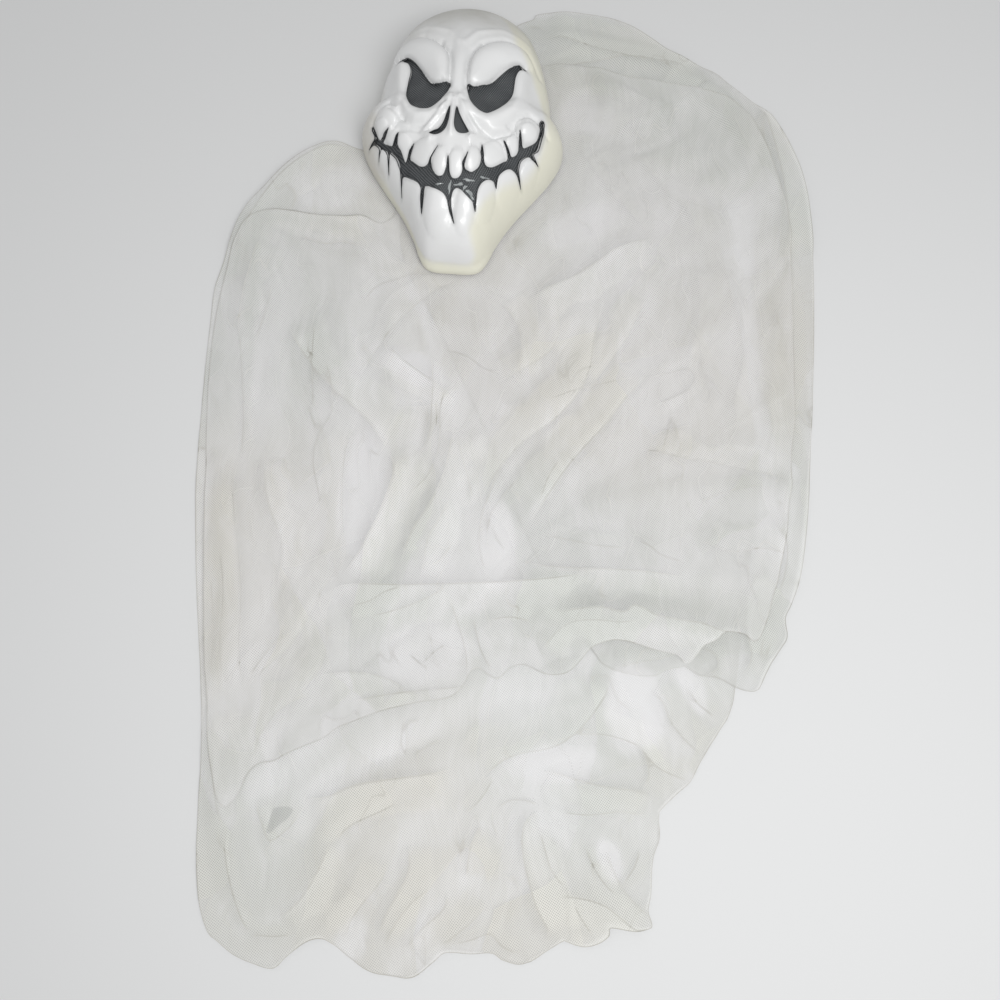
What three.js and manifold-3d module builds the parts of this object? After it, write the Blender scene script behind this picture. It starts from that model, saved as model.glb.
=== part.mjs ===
// Hanging ghost decoration, laid out flat on its back with the face up.
// Millimetres, +Z up from the table, +Y towards the crown of the head, +X to the right of the face.
import * as THREE from 'three';
import { mergeGeometries, mergeVertices } from 'three/addons/utils/BufferGeometryUtils.js';
import ManifoldModule from 'manifold-3d';

const wasm = await ManifoldModule();
wasm.setup();

// Gown: three sheets of sheer net, measured as they lie
const gownWidth = 560;
const gownLength = 873;
const netThickness = 1.2;
const layerGap = 0.35;
const foldHeight = 7.5;
const foldSoftReach = 47;
const foldSteepReach = 15;
const foldFadeShare = 0.16;
const clothColumns = 25;
const clothRows = 39;

// Mask: a moulded half head with an open back
const maskWidth = 188;
const maskHeight = 256;
const maskDepth = 76;
const maskWall = 2.4;
const fineRelief = 1.6;
const maskAcross = -45;
const maskUpShare = 0.328;
const maskUp = gownLength * maskUpShare;
const maskLean = -4.2;
const shellSpokes = 72;
const shellRings = 24;
const liningRings = 10;
const pressedMargin = 40;
const pressedFade = 62;

// Moulded relief, as heights above the plain dome
const browRise = 7;
const bridgeRise = 3.4;
const noseRise = 5;
const cheekRise = 6.5;
const chinRise = 5;
const socketDepth = 5;
const crownStep = 2.6;
const creaseDepth = 1.5;
const creaseWidth = 6.4;
const lobeRise = 2.4;
const lobeLength = 1.5;
const lobeSpread = 1.4;
const rimFade = 2.5;

// Black net behind the holes, its glue, and the gathered band of net inside the crown
const patchThickness = 0.8;
const patchDrop = 0.6;
const glueWidth = 4.5;
const glueHeight = 2.2;
const glueInset = 5;
const glueGap = 0.5;
const glueTaper = 0.5;
const glueRimShare = 0.84;
const glueSteps = 26;
const bandThickness = 1.6;
const bandGather = 0.9;
const bandGathers = 17;
const bandGap = 0.45;
const bandLift = 0.9;
const bandStartTurn = 10;
const bandEndTurn = 128;

// Hanging lug moulded inside the crown, with the hole for the cord
const lugWidth = 24;
const lugReach = 14;
const lugThickness = 3;
const lugLift = 3.5;
const lugHole = 5;
const lugHoleSides = 20;
const seatGap = 0.3;
const cutOverrun = 20;
const domePower = 0.45;

const degree = Math.PI / 180;

// A closed mesh with merged corners becomes a solid that can be cut and joined
function solidOf(geometry) {
  const bare = geometry.index ? geometry.clone() : geometry;
  bare.deleteAttribute('normal');
  bare.deleteAttribute('uv');
  const merged = mergeVertices(bare);
  return new wasm.Manifold(new wasm.Mesh({
    numProp: 3,
    vertProperties: new Float32Array(merged.attributes.position.array),
    triVerts: new Uint32Array(merged.index.array),
  }));
}

function geometryOf(solid) {
  const mesh = solid.getMesh();
  const geometry = new THREE.BufferGeometry();
  geometry.setAttribute('position', new THREE.BufferAttribute(mesh.vertProperties, 3));
  geometry.setIndex(new THREE.BufferAttribute(mesh.triVerts, 1));
  geometry.computeVertexNormals();
  return geometry;
}

// Upright prism over an outline of [across, up] points
function prism(points, low, high) {
  const shape = new THREE.Shape(points.map(([x, y]) => new THREE.Vector2(x, y)));
  const geometry = new THREE.ExtrudeGeometry(shape, { depth: high - low, bevelEnabled: false });
  geometry.translate(0, 0, low);
  return solidOf(geometry);
}

// Rows of points, first and last closed by a fan or a wall, become one triangle mesh
function meshOf(points, faces) {
  const geometry = new THREE.BufferGeometry();
  geometry.setAttribute('position', new THREE.Float32BufferAttribute(points.flat(), 3));
  geometry.setIndex(faces.flat());
  return geometry;
}

// Smooth bump: 1 at the middle, 0 from the stated reach on
function bump(distance, reach) {
  const share = Math.min(1, distance / reach);
  return (1 - share * share) ** 2;
}

// Mask outline at the rim: half width and height of each point, from the crown to the chin
const rimShares = [
  [0, 0.531], [0.23, 0.518], [0.45, 0.477], [0.61, 0.418], [0.71, 0.344], [0.785, 0.258],
  [0.84, 0.172], [0.875, 0.094], [0.957, 0.055], [1, 0.008], [0.98, -0.039], [0.885, -0.109],
  [0.755, -0.176], [0.617, -0.242], [0.5, -0.305], [0.405, -0.367], [0.33, -0.422],
  [0.235, -0.461], [0, -0.469],
];
const rimPolar = rimShares.map(([across, up]) => {
  const x = across * maskWidth / 2;
  const y = up * maskHeight;
  return [Math.atan2(x, y), Math.hypot(x, y)];
});

// Distance from the middle of the face to the rim, in the direction of a turn from the crown
function rimRadius(turn) {
  const wanted = Math.abs(Math.atan2(Math.sin(turn), Math.cos(turn)));
  const last = rimPolar.length - 1;
  let k = 0;
  while (k < last - 1 && rimPolar[k + 1][0] < wanted) k += 1;
  const slope = (i) => {
    const before = rimPolar[Math.max(0, i - 1)];
    const after = rimPolar[Math.min(last, i + 1)];
    return i === 0 || i === last ? 0 : (after[1] - before[1]) / (after[0] - before[0]);
  };
  const [t0, r0] = rimPolar[k];
  const [t1, r1] = rimPolar[k + 1];
  const span = t1 - t0;
  const t = (wanted - t0) / span;
  const rest = 1 - t;
  return r0 * rest * rest * (1 + 2 * t) + slope(k) * span * t * rest * rest
    + r1 * t * t * (3 - 2 * t) - slope(k + 1) * span * t * t * rest;
}

// Broad relief: [across, up, half length, half width, turn, rise], lengths as shares of the mask
const broadShares = {
  brows: [[-0.165, 0.14, 0.17, 0.085, 50, 1], [0.135, 0.14, 0.17, 0.085, -50, 1]],
  sockets: [[-0.18, 0.075, 0.13, 0.12, 20, 1], [0.15, 0.06, 0.13, 0.12, -20, 1]],
  cheeks: [[-0.345, -0.06, 0.085, 0.075, 0, 1], [0.335, -0.075, 0.085, 0.075, 0, 1],
    [-0.22, -0.1, 0.12, 0.07, 30, 0.4], [0.19, -0.1, 0.12, 0.07, -30, 0.4]],
  nose: [[-0.03, -0.07, 0.12, 0.1, 0, 1]],
  bridge: [[-0.01, 0.13, 0.05, 0.15, 0, 1]],
  chin: [[0.01, -0.36, 0.17, 0.11, 0, 1]],
  crown: [[-0.01, 0.42, 0.42, 0.14, 0, 1]],
};
const broadRises = {
  brows: browRise, sockets: -socketDepth, cheeks: cheekRise, nose: noseRise,
  bridge: bridgeRise, chin: chinRise, crown: -crownStep,
};

function ellipseBump(x, y, [across, up, along, wide, turn, rise]) {
  const dx = x - across * maskWidth;
  const dy = y - up * maskHeight;
  const c = Math.cos(turn * degree);
  const s = Math.sin(turn * degree);
  const share = Math.hypot((dx * c - dy * s) / (along * maskWidth), (dx * s + dy * c) / (wide * maskHeight));
  return rise * bump(share, 1);
}

function broadRelief(x, y) {
  let height = 0;
  for (const [name, rows] of Object.entries(broadShares)) {
    for (const row of rows) height += broadRises[name] * ellipseBump(x, y, row);
  }
  return height;
}

// Fine relief: creases along short runs of points, and the tooth-like lobes at the mouth
const creaseShares = [
  [[-0.34, 0.225], [-0.26, 0.295], [-0.17, 0.285], [-0.1, 0.22], [-0.055, 0.16]],
  [[0.02, 0.16], [0.065, 0.23], [0.16, 0.28], [0.25, 0.29], [0.33, 0.22]],
  [[-0.055, 0.22], [-0.05, 0.07]],
  [[0.035, 0.22], [0.035, 0.07]],
  [[-0.29, 0], [-0.24, -0.045], [-0.175, -0.06], [-0.1, -0.045], [-0.05, 0]],
  [[0.03, 0], [0.08, -0.05], [0.15, -0.08], [0.22, -0.065], [0.26, -0.02]],
  [[-0.13, -0.115], [-0.08, -0.06], [-0.045, -0.02]],
  [[0.02, -0.02], [0.05, -0.06], [0.075, -0.11]],
];
const lobeShares = [
  [-0.3, -0.105, 0.035], [-0.245, -0.14, 0.035], [-0.16, -0.175, 0.045], [-0.065, -0.21, 0.035],
  [0.012, -0.215, 0.034], [0.088, -0.195, 0.035], [0.175, -0.165, 0.045], [0.262, -0.115, 0.035],
  [0.34, -0.06, 0.035], [-0.21, -0.265, 0.04], [-0.08, -0.31, 0.05], [0.06, -0.315, 0.045],
  [0.15, -0.28, 0.04], [0.25, -0.215, 0.04], [-0.29, -0.195, 0.035],
];

function runDistance(x, y, run) {
  let nearest = Infinity;
  for (let i = 0; i + 1 < run.length; i += 1) {
    const [ax, ay] = run[i];
    const [bx, by] = run[i + 1];
    const dx = bx - ax;
    const dy = by - ay;
    const t = Math.min(1, Math.max(0, ((x - ax) * dx + (y - ay) * dy) / (dx * dx + dy * dy)));
    nearest = Math.min(nearest, Math.hypot(x - ax - t * dx, y - ay - t * dy));
  }
  return nearest;
}

const creaseRuns = creaseShares.map((run) => run.map(([a, b]) => [a * maskWidth, b * maskHeight]));

function fineReliefAt(x, y) {
  let height = 0;
  for (const run of creaseRuns) height -= creaseDepth * bump(runDistance(x, y, run), creaseWidth);
  for (const [across, up, reach] of lobeShares) {
    const distance = Math.hypot(x - across * maskWidth, (y - up * maskHeight) / lobeLength);
    height += lobeRise * bump(distance, reach * maskWidth * lobeSpread);
  }
  return height;
}

// Face surface and the smooth lining 2 to 4 mm behind it; tilt is 0 at the middle, 90 at the rim
function facePoint(turn, tilt) {
  const reach = rimRadius(turn) * Math.sin(tilt * degree);
  const x = reach * Math.sin(turn);
  const y = reach * Math.cos(turn);
  const level = Math.max(0, Math.cos(tilt * degree)) ** (2 * domePower);
  const fade = Math.min(1, level * rimFade);
  return [x, y, maskDepth * level + fade * (broadRelief(x, y) + fineReliefAt(x, y))];
}

function liningPoint(turn, tilt, inset = 0) {
  const reach = (rimRadius(turn) - maskWall - inset) * Math.sin(tilt * degree);
  const x = reach * Math.sin(turn);
  const y = reach * Math.cos(turn);
  const level = Math.max(0, Math.cos(tilt * degree)) ** (2 * domePower);
  const fade = Math.min(1, level * rimFade);
  return [x, y, (maskDepth - maskWall - fineRelief) * level + fade * broadRelief(x, y)];
}

// Dome of rings and spokes: a middle point, then the rings outwards
function domeRows(pointAt, rings, lastTilt) {
  const rows = [];
  for (let i = 1; i <= rings; i += 1) {
    const tilt = i / rings * lastTilt;
    rows.push(Array.from({ length: shellSpokes }, (_, j) => pointAt(j / shellSpokes * 2 * Math.PI, tilt)));
  }
  return { middle: pointAt(0, 0), rows };
}

// Two domes, the upper one facing up and the lower one facing down, joined round their last ring
function shellBetween(upper, lower) {
  const points = [];
  const faces = [];
  const put = (dome) => {
    const first = points.length;
    points.push(dome.middle, ...dome.rows.flat());
    return (i, j) => (i < 0 ? first : first + 1 + i * shellSpokes + j % shellSpokes);
  };
  const skin = (at, rings, up) => {
    for (let j = 0; j < shellSpokes; j += 1) {
      faces.push(up ? [at(-1), at(0, j + 1), at(0, j)] : [at(-1), at(0, j), at(0, j + 1)]);
      for (let i = 0; i + 1 < rings; i += 1) {
        const [a, b, c, d] = [at(i, j), at(i, j + 1), at(i + 1, j + 1), at(i + 1, j)];
        faces.push(...(up ? [[a, b, c], [a, c, d]] : [[a, c, b], [a, d, c]]));
      }
    }
  };
  const top = put(upper);
  const bottom = put(lower);
  skin(top, upper.rows.length, true);
  skin(bottom, lower.rows.length, false);
  const [m, n] = [upper.rows.length - 1, lower.rows.length - 1];
  for (let j = 0; j < shellSpokes; j += 1) {
    faces.push([top(m, j), top(m, j + 1), bottom(n, j + 1)], [top(m, j), bottom(n, j + 1), bottom(n, j)]);
  }
  return solidOf(meshOf(points, faces));
}

const inMask = (shares) => shares.map(([a, b]) => [a * maskWidth, b * maskHeight]);

// Cut-outs of the face, as shares of the mask's width and height
const leftEyeShares = [
  [-0.32, 0.195], [-0.29, 0.2], [-0.25, 0.184], [-0.2, 0.142], [-0.155, 0.088], [-0.125, 0.068],
  [-0.085, 0.062], [-0.048, 0.066], [-0.055, 0.03], [-0.09, -0.01], [-0.13, -0.03], [-0.175, -0.028],
  [-0.225, -0.008], [-0.25, 0.04], [-0.25, 0.1], [-0.246, 0.142], [-0.262, 0.168], [-0.29, 0.182],
];
const rightEyeShares = [
  [0.032, 0.063], [0.06, 0.055], [0.1, 0.066], [0.14, 0.092], [0.175, 0.135], [0.22, 0.178],
  [0.256, 0.19], [0.294, 0.18], [0.256, 0.168], [0.243, 0.135], [0.24, 0.075], [0.225, 0.035],
  [0.19, 0], [0.14, -0.034], [0.1, -0.03], [0.065, -0.012], [0.045, 0.015],
];
const leftNostrilShares = [
  [-0.037, -0.03], [-0.045, -0.067], [-0.06, -0.098], [-0.085, -0.112], [-0.118, -0.108],
  [-0.095, -0.082], [-0.06, -0.052],
];
const rightNostrilShares = [
  [-0.006, -0.038], [0.01, -0.062], [0.04, -0.085], [0.052, -0.105], [0.03, -0.117],
  [-0.002, -0.108], [-0.013, -0.085],
];
const grinShares = [
  [-0.425, 0.02], [-0.39, -0.055], [-0.362, -0.082], [-0.336, -0.066], [-0.342, -0.1], [-0.312, -0.12],
  [-0.294, -0.116], [-0.282, -0.085], [-0.266, -0.132], [-0.24, -0.172], [-0.22, -0.18],
  [-0.206, -0.14], [-0.205, -0.19], [-0.16, -0.207], [-0.116, -0.205], [-0.09, -0.16],
  [-0.098, -0.222], [-0.062, -0.245], [-0.04, -0.243], [-0.026, -0.202], [-0.01, -0.25],
  [0.015, -0.247], [0.036, -0.228], [0.052, -0.184], [0.056, -0.23], [0.09, -0.222],
  [0.12, -0.195], [0.124, -0.145], [0.14, -0.2], [0.185, -0.185], [0.235, -0.155],
  [0.224, -0.113], [0.25, -0.142], [0.296, -0.104], [0.286, -0.063], [0.305, -0.1],
  [0.335, -0.08], [0.372, -0.042], [0.388, 0.008],
  [0.382, -0.06], [0.345, -0.108], [0.372, -0.122], [0.318, -0.13], [0.285, -0.158], [0.302, -0.195],
  [0.268, -0.175], [0.228, -0.188], [0.2, -0.208], [0.192, -0.242], [0.176, -0.222], [0.138, -0.248],
  [0.118, -0.28], [0.105, -0.322], [0.085, -0.29], [0.035, -0.272], [0.012, -0.29], [0.004, -0.37],
  [-0.022, -0.296], [-0.07, -0.278], [-0.122, -0.268], [-0.142, -0.338], [-0.15, -0.262],
  [-0.205, -0.228], [-0.245, -0.205], [-0.254, -0.25], [-0.262, -0.192], [-0.305, -0.138],
  [-0.322, -0.178], [-0.33, -0.128], [-0.372, -0.102], [-0.378, -0.13], [-0.388, -0.088],
  [-0.418, -0.075], [-0.4, -0.05],
];
const cutouts = [leftEyeShares, rightEyeShares, leftNostrilShares, rightNostrilShares, grinShares];

// Shell of the mask: moulded face, hollow back, cut-outs and the hanging lug
function maskShell() {
  const face = domeRows(facePoint, shellRings, 90);
  const lining = domeRows(liningPoint, liningRings, 90);
  let shell = shellBetween(face, lining);
  for (const outline of cutouts) {
    shell = shell.subtract(prism(inMask(outline), lugLift + lugThickness + seatGap, maskDepth + cutOverrun));
  }
  const lugEnd = rimRadius(0) - maskWall / 2;
  const lug = new THREE.BoxGeometry(lugWidth, lugReach, lugThickness);
  lug.translate(0, lugEnd - lugReach / 2, lugLift + lugThickness / 2);
  const hole = new THREE.CylinderGeometry(lugHole / 2, lugHole / 2, lugThickness + cutOverrun, lugHoleSides);
  hole.rotateX(Math.PI / 2);
  hole.translate(0, lugEnd - maskWall - (lugReach - maskWall) / 2, lugLift);
  return shell.add(solidOf(lug)).subtract(solidOf(hole));
}

// Pieces of black net glued behind the holes, cut from one skin that follows the lining
const leftEyePatchShares = [
  [-0.36, 0.262], [-0.21, 0.225], [-0.035, 0.105], [-0.028, 0.025], [-0.075, -0.035],
  [-0.145, -0.052], [-0.245, -0.04], [-0.29, 0.03], [-0.3, 0.12],
];
const rightEyePatchShares = [
  [0.01, 0.1], [0.08, 0.1], [0.17, 0.185], [0.26, 0.24], [0.33, 0.21], [0.285, 0.11],
  [0.27, 0.02], [0.215, -0.035], [0.13, -0.06], [0.055, -0.035], [0.015, 0.015],
];
const nosePatchShares = [
  [-0.04, -0.015], [0.005, -0.018], [0.035, -0.047], [0.073, -0.09], [0.065, -0.128],
  [0, -0.134], [-0.095, -0.13], [-0.145, -0.115], [-0.14, -0.085], [-0.09, -0.06], [-0.062, -0.045],
];
const grinPatchShares = [
  [-0.45, 0.035], [-0.39, 0.032], [-0.325, -0.045], [-0.26, -0.075], [-0.18, -0.128], [-0.1, -0.146],
  [0.075, -0.146], [0.15, -0.133], [0.215, -0.1], [0.28, -0.045], [0.35, 0.025], [0.415, 0.03],
  [0.42, -0.13], [0.33, -0.212], [0.21, -0.262], [0.13, -0.342], [0, -0.388], [-0.165, -0.358],
  [-0.275, -0.262], [-0.35, -0.188], [-0.46, -0.09],
];
const patchTilt = 8 / liningRings * 90;

function netPatch(outline) {
  const lowered = (drop) => (turn, tilt) => {
    const [x, y, z] = liningPoint(turn, tilt);
    return [x, y, z - drop];
  };
  const rings = patchTilt / 90 * liningRings;
  const upper = domeRows(lowered(patchDrop), rings, patchTilt);
  const lower = domeRows(lowered(patchDrop + patchThickness), rings, patchTilt);
  return shellBetween(upper, lower).intersect(prism(inMask(outline), 0, maskDepth + cutOverrun));
}

// Height of the lining over a point, read straight from ring to ring as its facets run
function liningHeight(x, y) {
  const turn = Math.atan2(x, y);
  const share = Math.min(1, Math.hypot(x, y) / (rimRadius(turn) - maskWall));
  const ringTilt = 90 / liningRings;
  const ring = Math.min(liningRings - 1, Math.floor(Math.asin(share) / degree / ringTilt));
  const [inner, outer] = [ring, ring + 1].map((i) => Math.sin(i * ringTilt * degree));
  const t = (share - inner) / (outer - inner);
  const height = (i) => liningPoint(turn, i * ringTilt)[2];
  return height(ring) * (1 - t) + height(ring + 1) * t;
}

// Points at even steps round an outline that is drawn in from its edge
function drawnIn(outline, inset, count) {
  const corners = outline.map(([x, y]) => new THREE.Vector3(x, y, 0));
  const middle = corners.reduce((sum, p) => sum.add(p), new THREE.Vector3()).divideScalar(corners.length);
  const path = new THREE.CatmullRomCurve3(corners.map((p) => {
    const reach = p.distanceTo(middle);
    return p.clone().lerp(middle, inset / reach);
  }), true);
  return path.getSpacedPoints(count).slice(0, count).map((p) => {
    const limit = glueRimShare * rimRadius(Math.atan2(p.x, p.y));
    return p.multiplyScalar(Math.min(1, limit / p.length()));
  });
}

// Bead of hot glue run round the back of a patch, flat on the net and rounded off below
function glueBead(outline) {
  const path = drawnIn(inMask(outline), glueInset, glueSteps);
  const reach = glueWidth / 2;
  const sides = [[reach, 0], [-reach, 0], [-reach * glueTaper, -glueHeight], [reach * glueTaper, -glueHeight]];
  const points = [];
  const faces = [];
  path.forEach((p, i) => {
    const next = path[(i + 1) % glueSteps];
    const before = path[(i + glueSteps - 1) % glueSteps];
    const along = next.clone().sub(before).normalize();
    const half = next.distanceTo(p) / 2;
    const heights = [-1, 0, 1].flatMap((m) => [-1, 0, 1].map((n) => liningHeight(
      p.x + n * half * along.x - m * reach * along.y, p.y + n * half * along.y + m * reach * along.x)));
    const top = Math.min(...heights) - patchDrop - patchThickness - glueGap;
    for (const [out, down] of sides) points.push([p.x - out * along.y, p.y + out * along.x, top + down]);
  });
  for (let i = 0; i < glueSteps; i += 1) {
    const next = (i + 1) % glueSteps;
    for (let k = 0; k < 4; k += 1) {
      const [a, b] = [i * 4 + k, next * 4 + k];
      const [c, d] = [next * 4 + (k + 1) % 4, i * 4 + (k + 1) % 4];
      faces.push([a, c, b], [a, d, c]);
    }
  }
  return solidOf(meshOf(points, faces));
}

// Gathered band: the veil's top edge, pleated and glued round the inside of the crown and jaw sides
function headerBand(side) {
  const first = Math.round(bandStartTurn / 360 * shellSpokes);
  const last = Math.round(bandEndTurn / 360 * shellSpokes);
  const points = [];
  const faces = [];
  const ringTilt = 90 - 90 / liningRings;
  for (let j = first; j <= last; j += 1) {
    const turn = side * j / shellSpokes * 2 * Math.PI;
    const pleat = bandGather * (1 + Math.cos((j - first) / (last - first) * bandGathers * 2 * Math.PI)) / 2;
    for (const [tilt, inset, lift] of [
      [90, bandGap, bandLift], [ringTilt, bandGap, 0],
      [ringTilt, bandGap + bandThickness + pleat, 0], [90, bandGap + bandThickness + pleat, bandLift],
    ]) {
      const [x, y, z] = liningPoint(turn, tilt, inset);
      points.push([x, y, tilt === 90 ? lift : liningPoint(turn, tilt)[2]]);
    }
  }
  const count = last - first;
  const corner = (i, k) => i * 4 + k % 4;
  for (let i = 0; i < count; i += 1) {
    for (let k = 0; k < 4; k += 1) {
      const [a, b, c, d] = [corner(i, k), corner(i + 1, k), corner(i + 1, k + 1), corner(i, k + 1)];
      faces.push(...(side > 0 ? [[a, c, b], [a, d, c]] : [[a, b, c], [a, c, d]]));
    }
  }
  const ends = [
    [corner(0, 0), corner(0, 1), corner(0, 2)], [corner(0, 0), corner(0, 2), corner(0, 3)],
    [corner(count, 0), corner(count, 2), corner(count, 1)],
    [corner(count, 0), corner(count, 3), corner(count, 2)],
  ];
  faces.push(...ends.map(([a, b, c]) => (side > 0 ? [a, c, b] : [a, b, c])));
  return solidOf(meshOf(points, faces));
}

// Sheets of the gown: outlines and main folds, as shares of its width and length
const innerGownShares = [
  [-0.125, 0.44], [-0.214, 0.395], [-0.26, 0.335], [-0.29, 0.34], [-0.325, 0.335], [-0.357, 0.323],
  [-0.386, 0.306], [-0.412, 0.286], [-0.436, 0.27], [-0.454, 0.249], [-0.468, 0.218], [-0.482, 0.188],
  [-0.493, 0.125], [-0.5, -0.033], [-0.493, -0.114], [-0.482, -0.192], [-0.468, -0.267],
  [-0.468, -0.342], [-0.459, -0.431], [-0.429, -0.468], [-0.379, -0.487], [-0.346, -0.492],
  [-0.298, -0.468], [-0.277, -0.466], [-0.236, -0.484], [-0.18, -0.499], [-0.145, -0.5],
  [-0.112, -0.485], [-0.096, -0.477], [-0.029, -0.479], [0.016, -0.489], [0.054, -0.476],
  [0.073, -0.468], [0.105, -0.474], [0.143, -0.455], [0.204, -0.456], [0.198, -0.442],
  [0.205, -0.407], [0.218, -0.379], [0.223, -0.351], [0.268, -0.326], [0.304, -0.287],
  [0.339, -0.241], [0.384, -0.155], [0.402, -0.006], [0.366, 0.165], [0.25, 0.326], [0.107, 0.429],
  [-0.018, 0.45],
];
const hoodVeilShares = [
  [-0.054, 0.45], [0.011, 0.483], [0.048, 0.498], [0.088, 0.5], [0.168, 0.491], [0.245, 0.465],
  [0.307, 0.438], [0.348, 0.427], [0.409, 0.392], [0.461, 0.352], [0.491, 0.3], [0.5, 0.203],
  [0.495, 0.125], [0.486, 0.05], [0.475, -0.012], [0.448, -0.123], [0.421, -0.171], [0.423, -0.19],
  [0.411, -0.202], [0.386, -0.22], [0.364, -0.241], [0.339, -0.235], [0.316, -0.192],
  [0.286, -0.208], [0.255, -0.223], [0.214, -0.226], [0.182, -0.222], [0.157, -0.2],
  [0.089, -0.11], [0.018, 0.05], [-0.054, 0.19], [-0.125, 0.3], [-0.125, 0.395],
];
const outerCapeShares = [
  [-0.018, 0.44], [0.089, 0.417], [0.196, 0.417], [0.321, 0.395], [0.411, 0.343], [0.45, 0.28],
  [0.464, 0.2], [0.461, 0.108], [0.45, 0.017], [0.437, -0.064], [0.421, -0.132], [0.402, -0.172],
  [0.379, -0.184], [0.339, -0.172], [0.25, -0.17], [0.177, -0.187], [0.125, -0.201],
  [0.109, -0.218], [0.082, -0.226], [0.041, -0.222], [0.016, -0.217], [-0.004, -0.222],
  [-0.016, -0.231], [-0.037, -0.227], [-0.062, -0.218], [-0.09, -0.24], [-0.12, -0.249],
  [-0.162, -0.255], [-0.221, -0.27], [-0.275, -0.281], [-0.305, -0.294], [-0.359, -0.306],
  [-0.412, -0.324], [-0.43, -0.349], [-0.455, -0.316], [-0.464, -0.247], [-0.468, -0.155],
  [-0.473, -0.041], [-0.473, 0.074], [-0.464, 0.154], [-0.446, 0.2], [-0.42, 0.236],
  [-0.402, 0.255], [-0.339, 0.264], [-0.268, 0.266], [-0.214, 0.271], [-0.125, 0.314], [-0.089, 0.395],
];

// Folds: runs of points with the soft slope on their left, and the size of each fold beside the largest
const innerFoldShares = [
  [[[-0.05, -0.327], [0.012, -0.3], [0.088, -0.285], [0.142, -0.245], [0.155, -0.223]], 1],
  [[[0.073, -0.283], [0.178, -0.29], [0.205, -0.32], [0.191, -0.338]], 0.6],
  [[[0.213, -0.345], [0.132, -0.33], [0.042, -0.315]], 0.6],
  [[[0.049, -0.354], [0.015, -0.375], [0.026, -0.42], [0.052, -0.459], [0.049, -0.472]], 1],
  [[[0.203, -0.46], [0.157, -0.448], [0.128, -0.436], [0.064, -0.433]], 1],
  [[[0.201, -0.449], [0.161, -0.422], [0.139, -0.39]], 0.6],
  [[[0.211, -0.24], [0.24, -0.269], [0.287, -0.303]], 0.6],
  [[[0.193, -0.292], [0.24, -0.32], [0.27, -0.326]], 0.6],
  [[[-0.086, -0.315], [-0.198, -0.325], [-0.272, -0.339], [-0.316, -0.345]], 1],
  [[[-0.387, -0.341], [-0.358, -0.38], [-0.307, -0.347]], 0.6],
  [[[-0.154, -0.381], [-0.165, -0.424], [-0.196, -0.466]], 0.6],
  [[[-0.091, -0.427], [-0.132, -0.459], [-0.157, -0.478]], 0.6],
  [[[-0.108, -0.473], [-0.036, -0.436]], 0.6],
  [[[-0.048, -0.367], [-0.068, -0.415]], 0.6],
  [[[-0.245, -0.471], [-0.217, -0.435], [-0.183, -0.397]], 0.6],
  [[[-0.27, -0.381], [-0.311, -0.433], [-0.345, -0.452]], 0.6],
  [[[0.071, -0.354], [0.205, -0.359]], 0.6],
  [[[-0.451, -0.25], [-0.446, -0.334], [-0.43, -0.37]], 0.6],
  [[[-0.261, 0.336], [-0.349, 0.326], [-0.424, 0.27], [-0.468, 0.195]], 1],
];
const hoodFoldShares = [
  [[[0.052, 0.474], [0.155, 0.454], [0.284, 0.437], [0.327, 0.422]], 1],
  [[[0.065, 0.425], [0.19, 0.444], [0.309, 0.421]], 0.6],
  [[[0.173, 0.349], [0.238, 0.375], [0.305, 0.399], [0.354, 0.425]], 1],
  [[[0.118, 0.333], [0.175, 0.281], [0.235, 0.233]], 0.6],
  [[[0.206, 0.333], [0.265, 0.284], [0.315, 0.229]], 0.6],
  [[[0.42, 0.398], [0.45, 0.333], [0.464, 0.251], [0.463, 0.206]], 1],
  [[[0.309, 0.204], [0.311, 0.161], [0.287, 0.093]], 0.6],
  [[[0.371, 0.172], [0.374, 0.082], [0.365, 0.018]], 0.6],
  [[[0.429, 0.117], [0.403, 0.079], [0.422, 0.01]], 0.6],
  [[[0.443, -0.021], [0.43, -0.067], [0.413, -0.153]], 0.6],
  [[[0.308, 0.403], [0.397, 0.339], [0.406, 0.287]], 0.6],
  [[[0.085, 0.405], [0.222, 0.399], [0.269, 0.371]], 0.6],
  [[[0.404, -0.113], [0.36, -0.177], [0.369, -0.207], [0.351, -0.231]], 0.6],
  [[[0.153, -0.219], [0.246, -0.207], [0.29, -0.192]], 0.6],
];
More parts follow.
